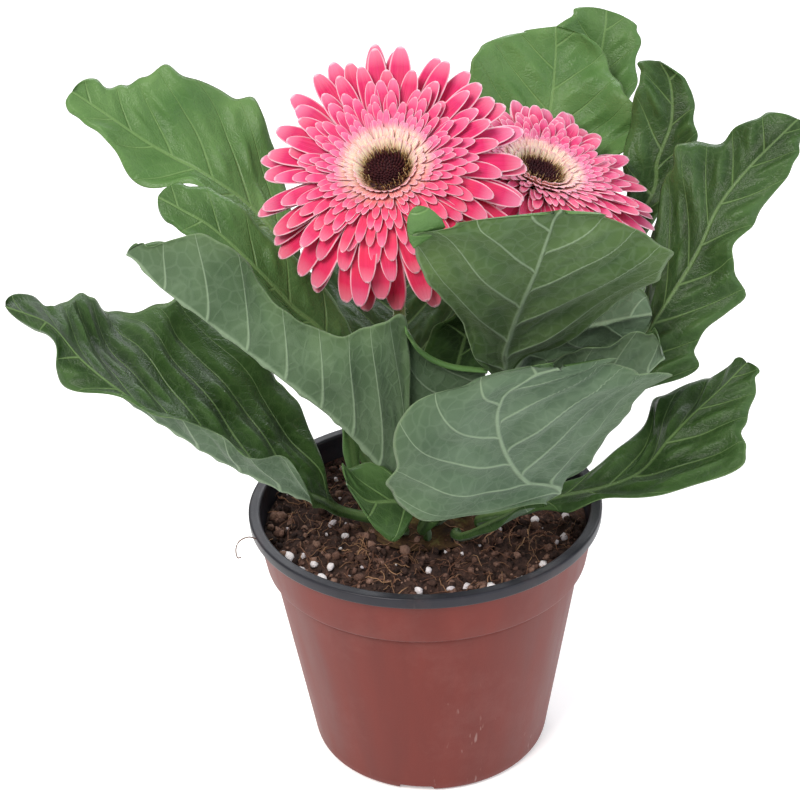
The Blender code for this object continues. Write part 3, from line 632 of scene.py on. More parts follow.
def moulded_plastic(name, low, high, roughness, scuffs):
    # Thermoformed polystyrene sheet: a satin skin with faint upright flow marks where the sheet was drawn
    # down, a fine grain, and pale dusty scuffs from handling.
    made, tree, shader = start_material(name, roughness, 1.55, 0.2)
    where = add(tree, "TexCoord").outputs["Object"]
    tall = add(tree, "VectorMath", TIMES, {0: where, 1: (90.0, 90.0, 9.0)})
    flow = add(tree, "TexNoise", inputs={"Vector": tall, "Scale": 1.0, "Detail": 4.0})
    skin = add(tree, "ValToRGB", inputs={0: flow}, stops=[(0.3, low), (0.7, high)])
    dust = add(tree, "TexNoise", inputs={"Vector": where, "Scale": 24.0, "Detail": 6.0, "Roughness": 0.75})
    dust = add(tree, "MapRange", inputs={0: dust, 1: 0.52, 2: 0.80, 3: 0.0, 4: 0.12})
    # Nicks are 2 mm wide and 11 mm long, in a few patches.
    nick = add(tree, "VectorMath", TIMES, {0: where, 1: (420.0, 420.0, 90.0)})
    nick = add(tree, "TexNoise", inputs={"Vector": nick, "Scale": 1.0, "Detail": 2.0})
    nick = add(tree, "MapRange", inputs={0: nick, 1: 0.68, 2: 0.76, 3: 0.0, 4: scuffs})
    area = add(tree, "TexNoise", inputs={"Vector": where, "Scale": 16.0})
    area = add(tree, "MapRange", inputs={0: area, 1: 0.5, 2: 0.62})
    nick = add(tree, "Math", TIMES, {0: nick, 1: area})
    for share, code in ((dust, "#94706C"), (nick, "#C9B6B0")):
        skin = add(tree, "Mix", COLOURS, {0: share, 6: skin, 7: colour(code)})
    wear = add(tree, "MapRange", inputs={0: flow, 1: 0.3, 2: 0.7, 3: roughness - 0.06, 4: roughness + 0.08})
    # Grain of the sheet, 0.5 mm, coarser than the real 0.1 mm so that it shows.
    grain = add(tree, "TexNoise", inputs={"Vector": where, "Scale": 2000.0, "Detail": 2.0})
    height = add(tree, "Math", TIMES_PLUS, {0: flow, 1: 2.5, 2: grain})
    finish_material(tree, shader, skin, height, 0.12, 0.0003, wear)
    return made


# ---------------------------------------------------------------------------
# Leaves

crown_low, crown_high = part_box("crown")
crown_top = crown_high.z / MM
FOOT_LEVEL = crown_top + 0.3
LAYOUT_CROWN_TOP = 94.8
LIFT = np.array([0.0, 0.0, crown_top - LAYOUT_CROWN_TOP])
PETIOLE_WIDTH = 4.8
PETIOLE_THICKNESS = 3.0
BLADE_THICKNESS = 0.5
LEAF_ARCH = 0.08
SIDE_VEIN_SPACING = 17.0
SIDE_VEIN_HEIGHT = 0.55
MIDRIB_HEIGHT = 2.1
EDGE_ROLL = 1.3
DENT_HEIGHT = 1.1
COLUMNS = 65
ROW_STEP = 1.1

# How each leaf differs: quilt is how much it swells between veins, in millimetres, tone how light its
# green is, from 0 to 1, wave how far its edge goes up and down, in millimetres, and lobe how far in and
# out, as a share of its width. A low tone is partly painted shade: leaves that lie in the plant's shade or
# face away from the light get a darker green on their upper side.
LEAF_CHARACTER = {
    "leaf_front": {"quilt": 0.8, "tone": 0.0, "wave": 1.6, "lobe": 0.05},
    "leaf_centre": {"quilt": 0.9, "tone": 0.85, "wave": 1.6, "lobe": 0.05},
    "leaf_front_left": {"quilt": 0.8, "tone": 0.3, "wave": 1.2, "lobe": 0.04},
    "leaf_low_front": {"quilt": 0.9, "tone": 0.2, "wave": 1.6, "lobe": 0.07},
    "leaf_left_low": {"quilt": 1.3, "tone": 0.05, "wave": 2.0, "lobe": 0.06},
    "leaf_left_mid": {"quilt": 1.1, "tone": 0.6, "wave": 1.6, "lobe": 0.05},
    "leaf_back_left": {"quilt": 1.1, "tone": 0.9, "wave": 1.8, "lobe": 0.07},
    "leaf_back_centre": {"quilt": 1.2, "tone": 0.95, "wave": 2.0, "lobe": 0.05},
    "leaf_back_high": {"quilt": 1.1, "tone": 0.7, "wave": 1.6, "lobe": 0.05},
    "leaf_inner_left": {"quilt": 0.8, "tone": 0.0, "wave": 1.2, "lobe": 0.05},
    "leaf_right_low": {"quilt": 1.3, "tone": 0.08, "wave": 2.0, "lobe": 0.07},
}
USUAL_LEAF = {"quilt": 1.4, "tone": 0.12, "wave": 2.2, "lobe": 0.08}


def cell_distance(u, v, seed):
    """How far a point is from the border between two cells of an uneven unit grid."""
    cells = 64
    jitter = np.random.default_rng(seed).random((cells, cells, 2)) * 0.8 + 0.1
    first = np.full(u.shape, 9.0)
    second = np.full(u.shape, 9.0)
    iu, iv = np.floor(u).astype(int), np.floor(v).astype(int)
    for du in (-1, 0, 1):
        for dv in (-1, 0, 1):
            centre = jitter[(iu + du) % cells, (iv + dv) % cells]
            away = np.hypot(iu + du + centre[..., 0] - u, iv + dv + centre[..., 1] - v)
            second = np.minimum(second, np.maximum(away, first))
            first = np.minimum(first, away)
    return second - first


def leaf_stations(leaf):
    """Midrib, left and right edge points from the foot of the stalk to the tip."""
    stalk = np.array(leaf["stalk"], float) + LIFT
    stalk[0, 2] = FOOT_LEVEL
    stalk = np.insert(stalk, 1, stalk[0] + (0.0, 0.0, PETIOLE_THICKNESS), axis=0)
    blade = np.array(leaf["blade"], float) + LIFT
    tip = np.array(leaf["tip"], float) + LIFT
    middle = np.concatenate([stalk, blade[:, 1], [tip]])
    across = unit(blade[0, 2] - blade[0, 0])
    left, right = [], []
    for k, point in enumerate(stalk):
        along = unit(middle[max(k, 1) + 1] - middle[max(k, 1)])
        side = across - along * (across @ along)
        if k < 2:
            side[2] = 0.0
        left.append(point - unit(side) * PETIOLE_WIDTH / 2)
        right.append(point + unit(side) * PETIOLE_WIDTH / 2)
    tip_left, tip_right = (tip + 0.06 * (blade[-1, k] - blade[-1, 1]) for k in (0, 2))
    left = np.concatenate([left, blade[:, 0], [tip_left]])
    right = np.concatenate([right, blade[:, 2], [tip_right]])
    return middle, left, right, len(stalk)


def build_leaf(name, leaf, seed, finishes):
    """One leaf as a closed sheet: quilted above, with raised veins and a thick midrib below."""
    character = USUAL_LEAF | LEAF_CHARACTER.get(name, {})
    middle, left, right, stalk_count = leaf_stations(leaf)
    last = len(middle) - 1
    at = [0.0]
    for k in range(last):
        span = np.linalg.norm(middle[k + 1] - middle[k])
        if k == last - 1:
            steps = max(10, round(span / (0.6 * ROW_STEP)))
            at.extend(k + 1 - (1 - (j + 1) / steps) ** 1.8 for j in range(steps))
        else:
            steps = max(2, round(span / (ROW_STEP if k >= stalk_count - 1 else 2.5)))
            at.extend(k + (j + 1) / steps for j in range(steps))
    at = np.array(at)
    end_reach = left[-2] - middle[-2], right[-2] - middle[-2]
    middle, left, right = (smooth_path(points, at) for points in (middle, left, right))
    is_blade = smooth_step(at, stalk_count - 1.0, stalk_count + 0.2)[:, None]
    gone = np.concatenate([[0], np.cumsum(np.linalg.norm(np.diff(middle, axis=0), axis=1))])
    start = np.interp(stalk_count - 1.0, at, gone)
    y = (gone - start)[:, None]
    length = y[-1, 0]
    along = unit(np.gradient(middle, axis=0))
    # The blade's end is rounded, not drawn out to a point.
    to_tip = np.clip(at - (last - 1), 0, 1)[:, None]
    round_end = np.sqrt(np.maximum(1 - to_tip**2.3, 0.004))
    bulge = smooth_step(to_tip, 0.0, 0.55)

    even = np.linspace(-1, 1, COLUMNS)[None, :]
    w = even * (0.62 + 0.38 * np.abs(even))
    part = np.abs(w)
    spacing = length / max(4, round(length / SIDE_VEIN_SPACING))
    points = np.zeros((len(at), COLUMNS, 3))
    half = np.zeros((len(at), COLUMNS))
    side_of = {}
    for sign, edge in ((-1, left), (1, right)):
        reach = edge - middle
        reach = reach * (1 - bulge) + end_reach[sign > 0] * round_end * bulge
        width = np.linalg.norm(reach, axis=1, keepdims=True)
        phase = (y - 0.9 * width) / spacing + (0.0 if sign < 0 else 0.45)
        lobe = 0.45 * np.cos(tau * phase) + 0.8 * np.cos(0.5 * tau * phase + 1.3 * seed)
        ripple = 0.008 * np.sin(tau * y / 9.1 + seed)
        fade = is_blade * smooth_step(length - y, 2.0, 18.0) * smooth_step(y, 0.0, 16.0)
        reach = reach * (1 + (character["lobe"] * lobe + ripple) * fade)
        width = np.linalg.norm(reach, axis=1, keepdims=True)
        side_of[sign] = reach, width, unit(np.cross(reach * sign, along))
    for sign in (-1, 1):
        reach, width, up = side_of[sign]
        pick = (w[0] < 0) if sign < 0 else (w[0] >= 0)
        share = part[:, pick]
        arch = 4 * LEAF_ARCH * share * (1 - share) * width * is_blade
        swing = character["wave"] * np.sin(tau * y / (1.9 * spacing) + seed * 1.7 + sign)
        swing = swing * smooth_step(y, 0, 18) * share**2.2
        roll = EDGE_ROLL * smooth_step(share, 0.82, 1.0) ** 1.5 * is_blade
        bend = (swing - arch - roll)[..., None]
        points[:, pick] = middle[:, None] + reach[:, None] * share[..., None] + up[:, None] * bend
        half[:, pick] = width
    blend = smooth_step(w, -0.22, 0.22)[..., None]
    ups = unit(side_of[-1][2][:, None] * (1 - blend) + side_of[1][2][:, None] * blend)

    # Veins: x is the distance from the midrib and y the distance along it. The side veins leave the
    # midrib at half a right angle and bend towards the tip.
    x = part * half
    rake = 0.85 * x + 0.007 * x**2
    order = (y - rake) / spacing + np.where(w < 0, 0.0, 0.45)
    off_vein = np.abs(order - np.round(order)) * spacing * 0.75
    there = smooth_step(y - rake, -5.0, 1.0) * is_blade
    thin = np.clip(1 - y / length, 0, 1)
    swell = (1 - np.exp(-((off_vein / 4.0) ** 2)) * there) * (1 - np.exp(-((x / 5.0) ** 2)))
    cells = smooth_step(cell_distance(x / 11.0, order * 1.9, seed), 0.0, 0.75)
    quilt = swell * (0.45 + 0.75 * cells) * is_blade * (1 - part**6)
    dents = np.sin(tau * (x * np.sign(w) / 47 + y / 71) + seed) * np.cos(tau * (y / 39 - x / 83) + 2 * seed)
    dents = DENT_HEIGHT * dents * is_blade * smooth_step(x, 3, 14) * smooth_step(length - y, 0, 14)
    height = character["quilt"] * (1.7 * quilt - 0.5) * is_blade * smooth_step(length - y, 0, 12) + dents
    midrib = np.exp(-((x / (0.8 + 1.5 * thin)) ** 2)) * is_blade
    lateral = np.exp(-((off_vein / 1.5) ** 2)) * (1 - part**3) * there
    ridge = MIDRIB_HEIGHT * midrib * (0.2 + 0.8 * thin) + SIDE_VEIN_HEIGHT * lateral

    rounded = np.sqrt(np.clip(1 - part**2, 0, 1))
    thinned = np.sqrt(np.clip(1 - part**8, 0, 1))
    skin = BLADE_THICKNESS / 2 * thinned * smooth_step(length - y, -1, 3)
    above = is_blade * (height + skin) + (1 - is_blade) * PETIOLE_THICKNESS / 2 * (rounded - 1)
    below = is_blade * (height - skin - ridge * thinned)
    below = below - (1 - is_blade) * PETIOLE_THICKNESS / 2 * (rounded + 1)
    top = points + ups * above[..., None]
    bottom = points + ups * below[..., None]

    rows = len(at)
    number = np.arange(rows * COLUMNS).reshape(rows, COLUMNS)
    under = number + rows * COLUMNS
    under[:, 0], under[:, -1], under[-1] = number[:, 0], number[:, -1], number[-1]
    faces, finish = [], []
    for r in range(rows - 1):
        for c in range(COLUMNS - 1):
            faces.append((number[r, c], number[r, c + 1], number[r + 1, c + 1], number[r + 1, c]))
            faces.append((under[r, c], under[r + 1, c], under[r + 1, c + 1], under[r, c + 1]))
            finish += [0, 1]
    for c in range(COLUMNS - 1):
        foot = [number[0, c], under[0, c], under[0, c + 1], number[0, c + 1]]
        faces.append(tuple(dict.fromkeys(foot)))
        finish.append(1)
    used = np.zeros(2 * rows * COLUMNS, bool)
    used[np.concatenate([number.ravel(), under.ravel()])] = True
    new_number = np.cumsum(used) - 1
    faces = [tuple(int(new_number[k]) for k in face) for face in faces]

    def both_sides(*values):
        values = np.stack([v + 0 * x for v in values], axis=-1).reshape(-1, 3)
        return np.concatenate([values, values])[used]

    vein_width = (0.25 + 0.45 * (1 - part) * (0.3 + thin)) / (0.75 * spacing) * there * (1 - 0.5 * part**2)
    return add_piece(
        name + "_blade",
        np.concatenate([top.reshape(-1, 3), bottom.reshape(-1, 3)])[used],
        faces,
        finishes,
        name,
        finish,
        {
            "leaf_place": both_sides(x * np.sign(w) + 90 * seed, y, 0.0),
            # The green is painted lighter towards the margins: painted light on the outer blade, whose
            # middle lies in the plant's shade.
            "leaf_marks": both_sides(quilt, character["tone"] + 0.3 * part**3, part * is_blade),
            "leaf_veins": both_sides(order, x / (0.45 + 1.0 * thin), np.maximum(vein_width, 1e-4)),
        },
    )


def add_lobe(name, grid, side, tone, finishes, rolled_rows=0):
    """A lobe of a leaf as a thin sheet: side says which side of the leaf shows, 0 above and 1 below, and
    the rolled rows at its free margin show the other one."""
    rows, columns = grid.shape[:2]
    up = np.linspace(0, 1, rows)[:, None]
    across = np.linspace(0, 1, columns)[None, :]
    step = np.cumsum(np.linalg.norm(np.diff(grid, axis=0, prepend=grid[:1]), axis=2), axis=0)
    x = step + 0 * across
    y = np.linalg.norm(grid - grid[:, :1], axis=2)
    margin = np.maximum(up, np.abs(2 * across - 1)) ** 2
    swell = 0.5 * np.sin(pi * up) * np.sin(pi * across)
    order = (y + 0.8 * x) / 13.0 + 0.4

    def flat(*values):
        return np.stack([v + 0 * x for v in values], axis=-1).reshape(-1, 3)

    faces = grid_faces(rows, columns)
    row_of_face = np.repeat(np.arange(rows - 1), columns - 1)
    finish = np.where(row_of_face >= rows - 1 - rolled_rows, 1 - side, side)
    marks = {
        "leaf_place": flat(x, y, 0.0),
        # The rolled rows get a lighter green: painted light on the rolled margin, which catches the light.
        "leaf_marks": flat(swell, tone + 0.6 * (up > 1 - rolled_rows / rows), 0.9 * margin),
        "leaf_veins": flat(order, 9.0, 0.035),
    }
    lobe = add_piece(name, grid.reshape(-1, 3), faces, finishes, face_finish=finish, marks=marks)
    thicken(lobe, BLADE_THICKNESS)


def build_lobes(finishes):
    """Two lobes that stand out of their leaf's own sheet, placed in the layout of the leaves."""
    # The upper corner of the middle leaf is folded over, so that its upper side shows.
    start, end = np.array([-1.2, -55.5, 222.0]), np.array([8.6, -56.5, 229.0])
    outward, forward = unit((-0.38, -0.2, 0.9)), unit((0.1, -0.95, 0.3))
    across = np.linspace(0, 1, 23)[None, :, None]
    up = np.linspace(0, 1, 15)[:, None, None]
    tall = 12.0 * np.sin(pi * np.clip(across, 0.015, 0.985)) ** 0.45
    bulge = 2.6 * np.sin(pi * up * 0.8) * np.sin(pi * across) + 0.4
    grid = start + (end - start) * across + outward * tall * up + forward * bulge + LIFT
    add_lobe("leaf_centre_turned_lobe", grid, 0, 1.0, finishes)
    # The front left leaf turns back on itself, and its far half shows beyond its fold with a rolled margin.
    across = np.linspace(0, 1, 25)
    foot = smooth_path([(-8, -26, 132), (-1, -24, 134), (9, -21, 140)], 2 * across)
    head = smooth_path([(-5, -33, 186), (0, -30, 176), (9, -27, 169), (22, -26, 166)], 3 * across)
    up = np.concatenate([np.linspace(0, 0.955, 22), [0.985, 1.0, 0.99, 0.965]])[:, None, None]
    bulge = 2.5 * np.sin(pi * up) * np.sin(pi * across)[None, :, None]
    roll = np.concatenate([np.zeros(22), [0.3, 1.3, 2.5, 3.4]])[:, None, None]
    bend = unit((0.15, -0.95, 0.1)) * (bulge + roll)
    grid = foot[None] + (head - foot)[None] * up + bend + LIFT
    add_lobe("leaf_front_left_far_half", grid, 1, 0.35, finishes, 3)


# ---------------------------------------------------------------------------
# Flowers

RAY_LENGTH = 41.0
RING_OUTER = 9.0
BRACTS_DEPTH = 13.5
SCAPE_RADIUS = 2.4
BRACT_THICKNESS = 0.4
BUTTON_RADIUS = 6.7
BUDS = 140
BUTTON_HAIRS = 260
STEM_HAIRS = 1500

# Rows of petals from the outside in. root and height are where a row leaves the head, rise is the angle
# at which it leaves, and curl is how much further it has turned at its tip, all in millimetres and degrees.
PETAL_ROWS = (
    # piece, count, turn, root, height, length, width, rise, curl, thickness, steps
    ("back_rays", 23, 0.00, 8.2, -2.0, 41.5, 7.9, 1, -4, 0.30, 16),
    ("front_rays", 23, 0.50, 8.2, -1.2, 39.0, 7.5, 5, -4, 0.30, 16),
    ("short_rays", 28, 0.20, 8.4, -0.5, 31.0, 6.0, 12, -8, 0.28, 14),
    ("outer_florets", 32, 0.60, 8.4, 0.0, 25.0, 4.6, 18, -10, 0.25, 12),
    ("outer_florets", 36, 0.10, 8.6, 0.4, 20.6, 3.6, 25, -14, 0.25, 11),
    ("outer_florets", 40, 0.40, 8.6, 0.8, 16.8, 3.0, 32, -18, 0.22, 10),
    ("inner_florets", 44, 0.80, 8.6, 1.2, 13.4, 2.5, 38, -22, 0.22, 9),
    ("inner_florets", 48, 0.30, 8.5, 1.5, 10.6, 2.1, 45, -26, 0.20, 8),
    ("inner_florets", 54, 0.70, 7.9, 1.8, 8.2, 1.8, 52, -26, 0.20, 7),
    ("fringe_florets", 56, 0.15, 7.5, 2.0, 5.6, 1.4, 58, -10, 0.18, 6),
)
# The buds in the middle of a head follow each other at this angle, in radians.
GOLDEN_ANGLE = 2.39996
RINGS_WITH_A_NODE = ("back_rays", "front_rays", "outer_florets", "inner_florets")


class Head:
    """Where a flower head is and which way it faces."""

    def __init__(self, flower):
        self.flower = flower
        self.centre = np.array(flower["centre"], float) + LIFT
        self.facing = unit(flower["facing"])
        self.right = unit(np.cross((0.0, 1.0, 0.0), self.facing))
        self.back = np.cross(self.facing, self.right)

    def place(self, across, back, height):
        across, back, height = (np.asarray(v, float)[..., None] for v in (across, back, height))
        return self.centre + self.right * across + self.back * back + self.facing * height

    def turned_body(self, profile, sides):
        """A body turned about the head's axis, from its outline as pairs of radius and height."""
        c, s = circle(sides)
        rings = [self.place(radius * c, radius * s, height + 0 * c) for radius, height in profile]
        return np.concatenate(rings), capped_faces(len(profile), sides)

    def tip_bend(self, angle):
        """How far a petal that points this way has turned at its tip, in radians."""
        front, back, side = self.flower["bend"]
        toward_back = sin(angle)
        if toward_back < 0:
            bend = side + (front - side) * (-toward_back) ** 1.5
        else:
            bend = side + (back - side) * toward_back
        return radians(bend + self.flower["left_dip"] * max(0.0, -cos(angle)) ** 1.5)


def petal(head, mass, angle, row, chance):
    """One strap-shaped petal: narrow at its root, rounded at its tip, with ribs and a shallow trough."""
    _, count, _, root, level, length, width, rise, curl, _, steps = row
    length = length * (1 + 0.05 * chance[0]) * (1 - 0.07 * abs(cos(angle)))
    width = width * (1 + 0.08 * chance[1])
    columns = 9 if width > 5 else 7 if width > 3 else 5
    gone = 1 - (1 - np.linspace(0, 1, steps + 1)) ** 1.4
    fine = np.linspace(0, 1, 40)
    ease = smooth_step(root + fine * length, RING_OUTER, RING_OUTER + 0.7 * RAY_LENGTH)
    slope = head.tip_bend(angle) * ease + radians(rise) * np.clip(8 * fine, 0, 1)
    slope = slope + radians(curl + 7 * chance[2]) * fine**2
    out = root + np.concatenate([[0], np.cumsum(np.cos(slope[:-1]) * length / 39)])
    up = level + np.concatenate([[0], np.cumsum(np.sin(slope[:-1]) * length / 39)])
    out, up, slope = (np.interp(gone, fine, values) for values in (out, up, slope))
    swell = 0.30 + 0.70 * np.sin(0.5 * pi * np.clip(gone / 0.62, 0, 1)) ** 0.9
    shoulder = 0.72 if width > 5 else 0.76
    tip = np.sqrt(np.clip(1 - (np.clip(gone - shoulder, 0, 1) / (1.003 - shoulder)) ** 2, 0.004, 1))
    half = 0.5 * width * swell * tip
    sway = radians(3.0 * chance[3]) * gone
    turn = radians(9.0 * chance[4]) * gone
    side = np.linspace(-1, 1, columns)[None, :]
    ribs = 0.10 * np.cos(3 * pi * side) * (half / (0.5 * width))[:, None]
    trough = 0.16 * half[:, None] * side**2 + ribs * min(1.0, width / 5)
    outward = np.array([cos(angle), sin(angle)])
    across = np.array([-sin(angle), cos(angle)])
    reach = half[:, None] * side
    # The trough leans over with the petal's twist, and its tip sways a little to one side.
    flat = reach * np.cos(turn)[:, None] - trough * np.sin(turn)[:, None]
    lifted = reach * np.sin(turn)[:, None] + trough * np.cos(turn)[:, None]
    flat = flat + (out * np.sin(sway))[:, None]
    radial = (out[:, None] - lifted * np.sin(slope)[:, None])
    height = up[:, None] + lifted * np.cos(slope)[:, None]
    points = head.place(
        radial * outward[0] + flat * across[0], radial * outward[1] + flat * across[1], height
    )
    distance = (root + gone * length)[:, None] + 0 * side
    place = np.stack([side + 0 * distance, gone[:, None] + 0 * side, distance], axis=-1)
    mass.add(points.reshape(-1, 3), grid_faces(steps + 1, columns), place.reshape(-1, 3))
    return points.shape[0] * points.shape[1]


def build_flower(name, flower, finishes, seed):
    head = Head(flower)
    chance = np.random.default_rng(seed)
    masses = {}
    for row in PETAL_ROWS:
        kind, count, turn = row[:3]
        mass, marks = masses.setdefault(kind, (Mass(), []))
        for k in range(count):
            luck = chance.normal(0, 0.6, 5).clip(-1.3, 1.3)
            angle = tau * (k + turn + 0.18 * luck[3]) / count
            here = petal(head, mass, angle, row, luck)
            # Petals that hang at the front get painted shade, a darker red, more on a head whose front rays
            # hang steeply.
            hang_shade = np.clip(-sin(angle), 0, 1) ** 0.8 * (0.9 if flower["bend"][0] < -40 else 0.4)
            marks.append(np.tile([chance.random(), hang_shade, 0.0], (here, 1)))
    for kind, (mass, marks) in masses.items():
        petal_kind = "ray" if kind.endswith("rays") else "floret"
        node = f"{name}_{kind}"
        has_node = kind in RINGS_WITH_A_NODE
        obj = add_piece(
            node + "_petals" if has_node else node,
            np.concatenate(mass.points),
            mass.faces,
            [finishes[petal_kind]],
            node if has_node else None,
            marks={"petal_place": np.concatenate(mass.marks), "petal_marks": np.concatenate(marks)},
        )
        thicken(obj, next(row[9] for row in PETAL_ROWS if row[0] == kind))
    build_heart(name, head, finishes, chance)
    build_bracts(name, head, finishes, chance)
    build_scape(name, head, finishes)


def build_heart(name, head, finishes, chance):
    """The middle of a head: a sunk button of dark buds with a ring of brown hairs round it."""
    mass = Mass()
    profile = [(9.2, 0.2), (8.6, 1.8), (6.8, 2.8), (4.4, 3.0), (2.2, 2.6), (0.2, 2.3)]
    mass.add(*head.turned_body(profile, 32), 0.1)
    for k in range(BUDS):
        reach = BUTTON_RADIUS * ((k + 0.5) / BUDS) ** 0.5
        turn = k * GOLDEN_ANGLE
        low = np.interp(reach, [0.2, 2.2, 4.4, 6.4, 7.9], [2.3, 2.6, 3.1, 3.0, 2.0])
        tall = 0.9 + 1.1 * smooth_step(reach, 2.5, 6.4) + 0.25 * chance.random()
        lean = radians(8 + 22 * reach / BUTTON_RADIUS)
        size = 0.34 + 0.12 * (1 - reach / BUTTON_RADIUS)
        steps = np.array([-0.6, 0.35 * tall, 0.8 * tall, tall])
        where = reach + steps * sin(lean)
        path = head.place(where * cos(turn), where * sin(turn), low + steps * cos(lean))
        points, faces = strand(path, [size, size, 0.75 * size, 0.12 * size], 6)
        shade = np.clip(0.12 + 0.35 * smooth_step(reach, 4.8, 7) + 0.2 * chance.random(), 0, 1)
        mass.add(points, faces, shade)
    for _ in range(BUTTON_HAIRS):
        turn = tau * chance.random()
        reach = 6.0 + 2.1 * chance.random()
        tall = 2.4 + 2.4 * chance.random()
        lean = radians(chance.normal(18, 18))
        steps = np.array([0.0, 0.5, 1.0]) * tall
        where = reach + steps * sin(lean)
        drift = turn + 0.04 * chance.normal() * np.array([0, 0.5, 1.0])
        path = head.place(where * np.cos(drift), where * np.sin(drift), 1.6 + steps * cos(lean))
        points, faces = strand(path, [0.13, 0.12, 0.04], 4)
        mass.add(points, faces, 0.40 + 0.60 * chance.random())
    mass.finish(f"{name}_heart", finishes["heart"], "disc", f"{name}_disc")


def build_bracts(name, head, finishes, chance):
    """The green cup: a smooth body with four rings of pointed, overlapping bracts."""
    mass = Mass()
    profile = [(0.2, -13.5), (2.4, -13.4), (5.0, -11.8), (8.2, -8.4), (9.6, -5.2), (9.8, -3.0), (5.0, -2.6)]
    mass.add(*head.turned_body(profile, 32), 0.35)
    out = np.array([r for r, _ in profile])
    up = np.array([h for _, h in profile])
    # Each ring of bracts: how many, and the heights of their roots and tips.
    bract_rings = ((14, -12.6, -4.6), (18, -10.5, -3.2), (20, -8.0, -1.8), (20, -5.6, -0.6))
    for ring, (count, low, high) in enumerate(bract_rings):
        for k in range(count):
            turn = tau * (k + 0.5 * ring + 0.1 * chance.normal()) / count
            steps = np.linspace(0, 1, 7)
            height = low + (high - low) * steps
            reach = np.interp(height, up[:-1], out[:-1]) + 0.35 + 0.25 * ring + 0.7 * steps**3
            half = 1.75 * np.sqrt(np.clip(1 - (steps * 0.98) ** 2.2, 0.003, 1))
            side = np.linspace(-1, 1, 5)[None, :]
            lift = reach[:, None] + 0.35 * (1 - side**2)
            spread = turn + side * half[:, None] / reach[:, None]
            level = height[:, None] + 0 * side
            shade = 0.35 + 0.35 * chance.random()
            skins = [
                head.place(r * np.cos(spread), r * np.sin(spread), level).reshape(-1, 3)
                for r in (lift, lift - BRACT_THICKNESS)
            ]
            one_side = len(skins[0])
            outer = grid_faces(7, 5)
            back = [tuple(one_side + k for k in face[::-1]) for face in outer]
            border = [r * 5 for r in range(7)] + [30 + c for c in range(1, 5)]
            border += [r * 5 + 4 for r in range(5, -1, -1)] + [c for c in range(3, 0, -1)]
            rim = [
                (border[k - 1], border[k], border[k] + one_side, border[k - 1] + one_side)
                for k in range(len(border))
            ]
            mass.add(np.concatenate(skins), outer + back + rim, shade)
    mass.finish(f"{name}_bract_cup", finishes["bract"], "bract", f"{name}_bracts")


def build_scape(name, head, finishes):
    """The leafless flower stem: round, finely ribbed and covered in short hairs."""
    path = np.array(head.flower["scape"], float) + LIFT
    path[0, 2] = FOOT_LEVEL
    top = head.place(0.0, 0.0, -BRACTS_DEPTH + 0.4).reshape(3)
    below = head.place(0.0, 0.0, -2 * BRACTS_DEPTH).reshape(3)
    path = np.vstack([path[0], path[0] + (0.0, 0.0, 2 * SCAPE_RADIUS), path[1:], below, top])
    path = smooth_path(path, np.linspace(0, len(path) - 1, 90))
    # Ten fine ribs run up the stem, which is a fifth thinner at its top.
    sides = 40
    radius = SCAPE_RADIUS * (1 - 0.18 * np.linspace(0, 1, len(path)))[:, None]
    radius = radius * (1 + 0.025 * np.cos(10 * tau * np.arange(sides) / sides)[None, :])
    rings, faces = tube(path, radius, sides, (0.0, 1.0, 0.0))
    add_piece(f"{name}_stem", rings.reshape(-1, 3), faces, [finishes["stem"]], f"{name}_scape")
    hairs = Mass()
    chance = np.random.default_rng(5)
    for _ in range(STEM_HAIRS):
        r, s = chance.integers(4, len(path) - 1), chance.integers(0, sides)
        root = rings[r, s]
        outward = unit(root - path[r]) + 0.5 * chance.normal(size=3)
        tall = 0.5 + 0.8 * chance.random()
        points, faces = strand([root - 0.1 * outward, root + outward * tall], [0.05, 0.015], 3)
        hairs.add(points, faces, 0.5)
    hairs.finish(f"{name}_stem_hair", finishes["hair"], "scape")


# ---------------------------------------------------------------------------
# Pot

pot_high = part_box("pot")[1]
POT_HEIGHT = pot_high.z / MM
RIM_RADIUS = pot_high.x / MM
RIM_LIP_WIDTH = 4.4
RIM_LIP_HEIGHT = 4.5
COLLAR_HEIGHT = 17.0
BASE_RADIUS = 46.0
WALL = 1.4
FOOT_NOTCHES = 4
FOOT_NOTCH_WIDTH = 13.0
FOOT_NOTCH_HEIGHT = 2.7
FOOT_NOTCH_TURN = radians(-98)
DRAIN_HOLES = 6
DRAIN_HOLE_RADIUS = 4.0
DRAIN_HOLE_RING = 28.5
DRAIN_HOLE_TURN = radians(12)
FLOOR_TOP = 4.6
SOIL_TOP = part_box("soil")[1].z / MM


def rounded_profile(corners, steps=5):
    """A (radius, height) outline with each corner rounded by its own radius."""
    places = np.array([corner[:2] for corner in corners], float)
    outline = [tuple(places[0])]
    for k in range(1, len(places) - 1):
        size = corners[k][2]
        before, here, after = places[k - 1], places[k], places[k + 1]
        reach = min(size, 0.45 * np.linalg.norm(before - here), 0.45 * np.linalg.norm(after - here))
        start = here + unit(before - here) * reach
        end = here + unit(after - here) * reach
        for part in np.linspace(0, 1, steps):
            bend = (1 - part) ** 2 * start + 2 * part * (1 - part) * here + part**2 * end
            outline.append(tuple(bend))
    outline.append(tuple(places[-1]))
    return outline


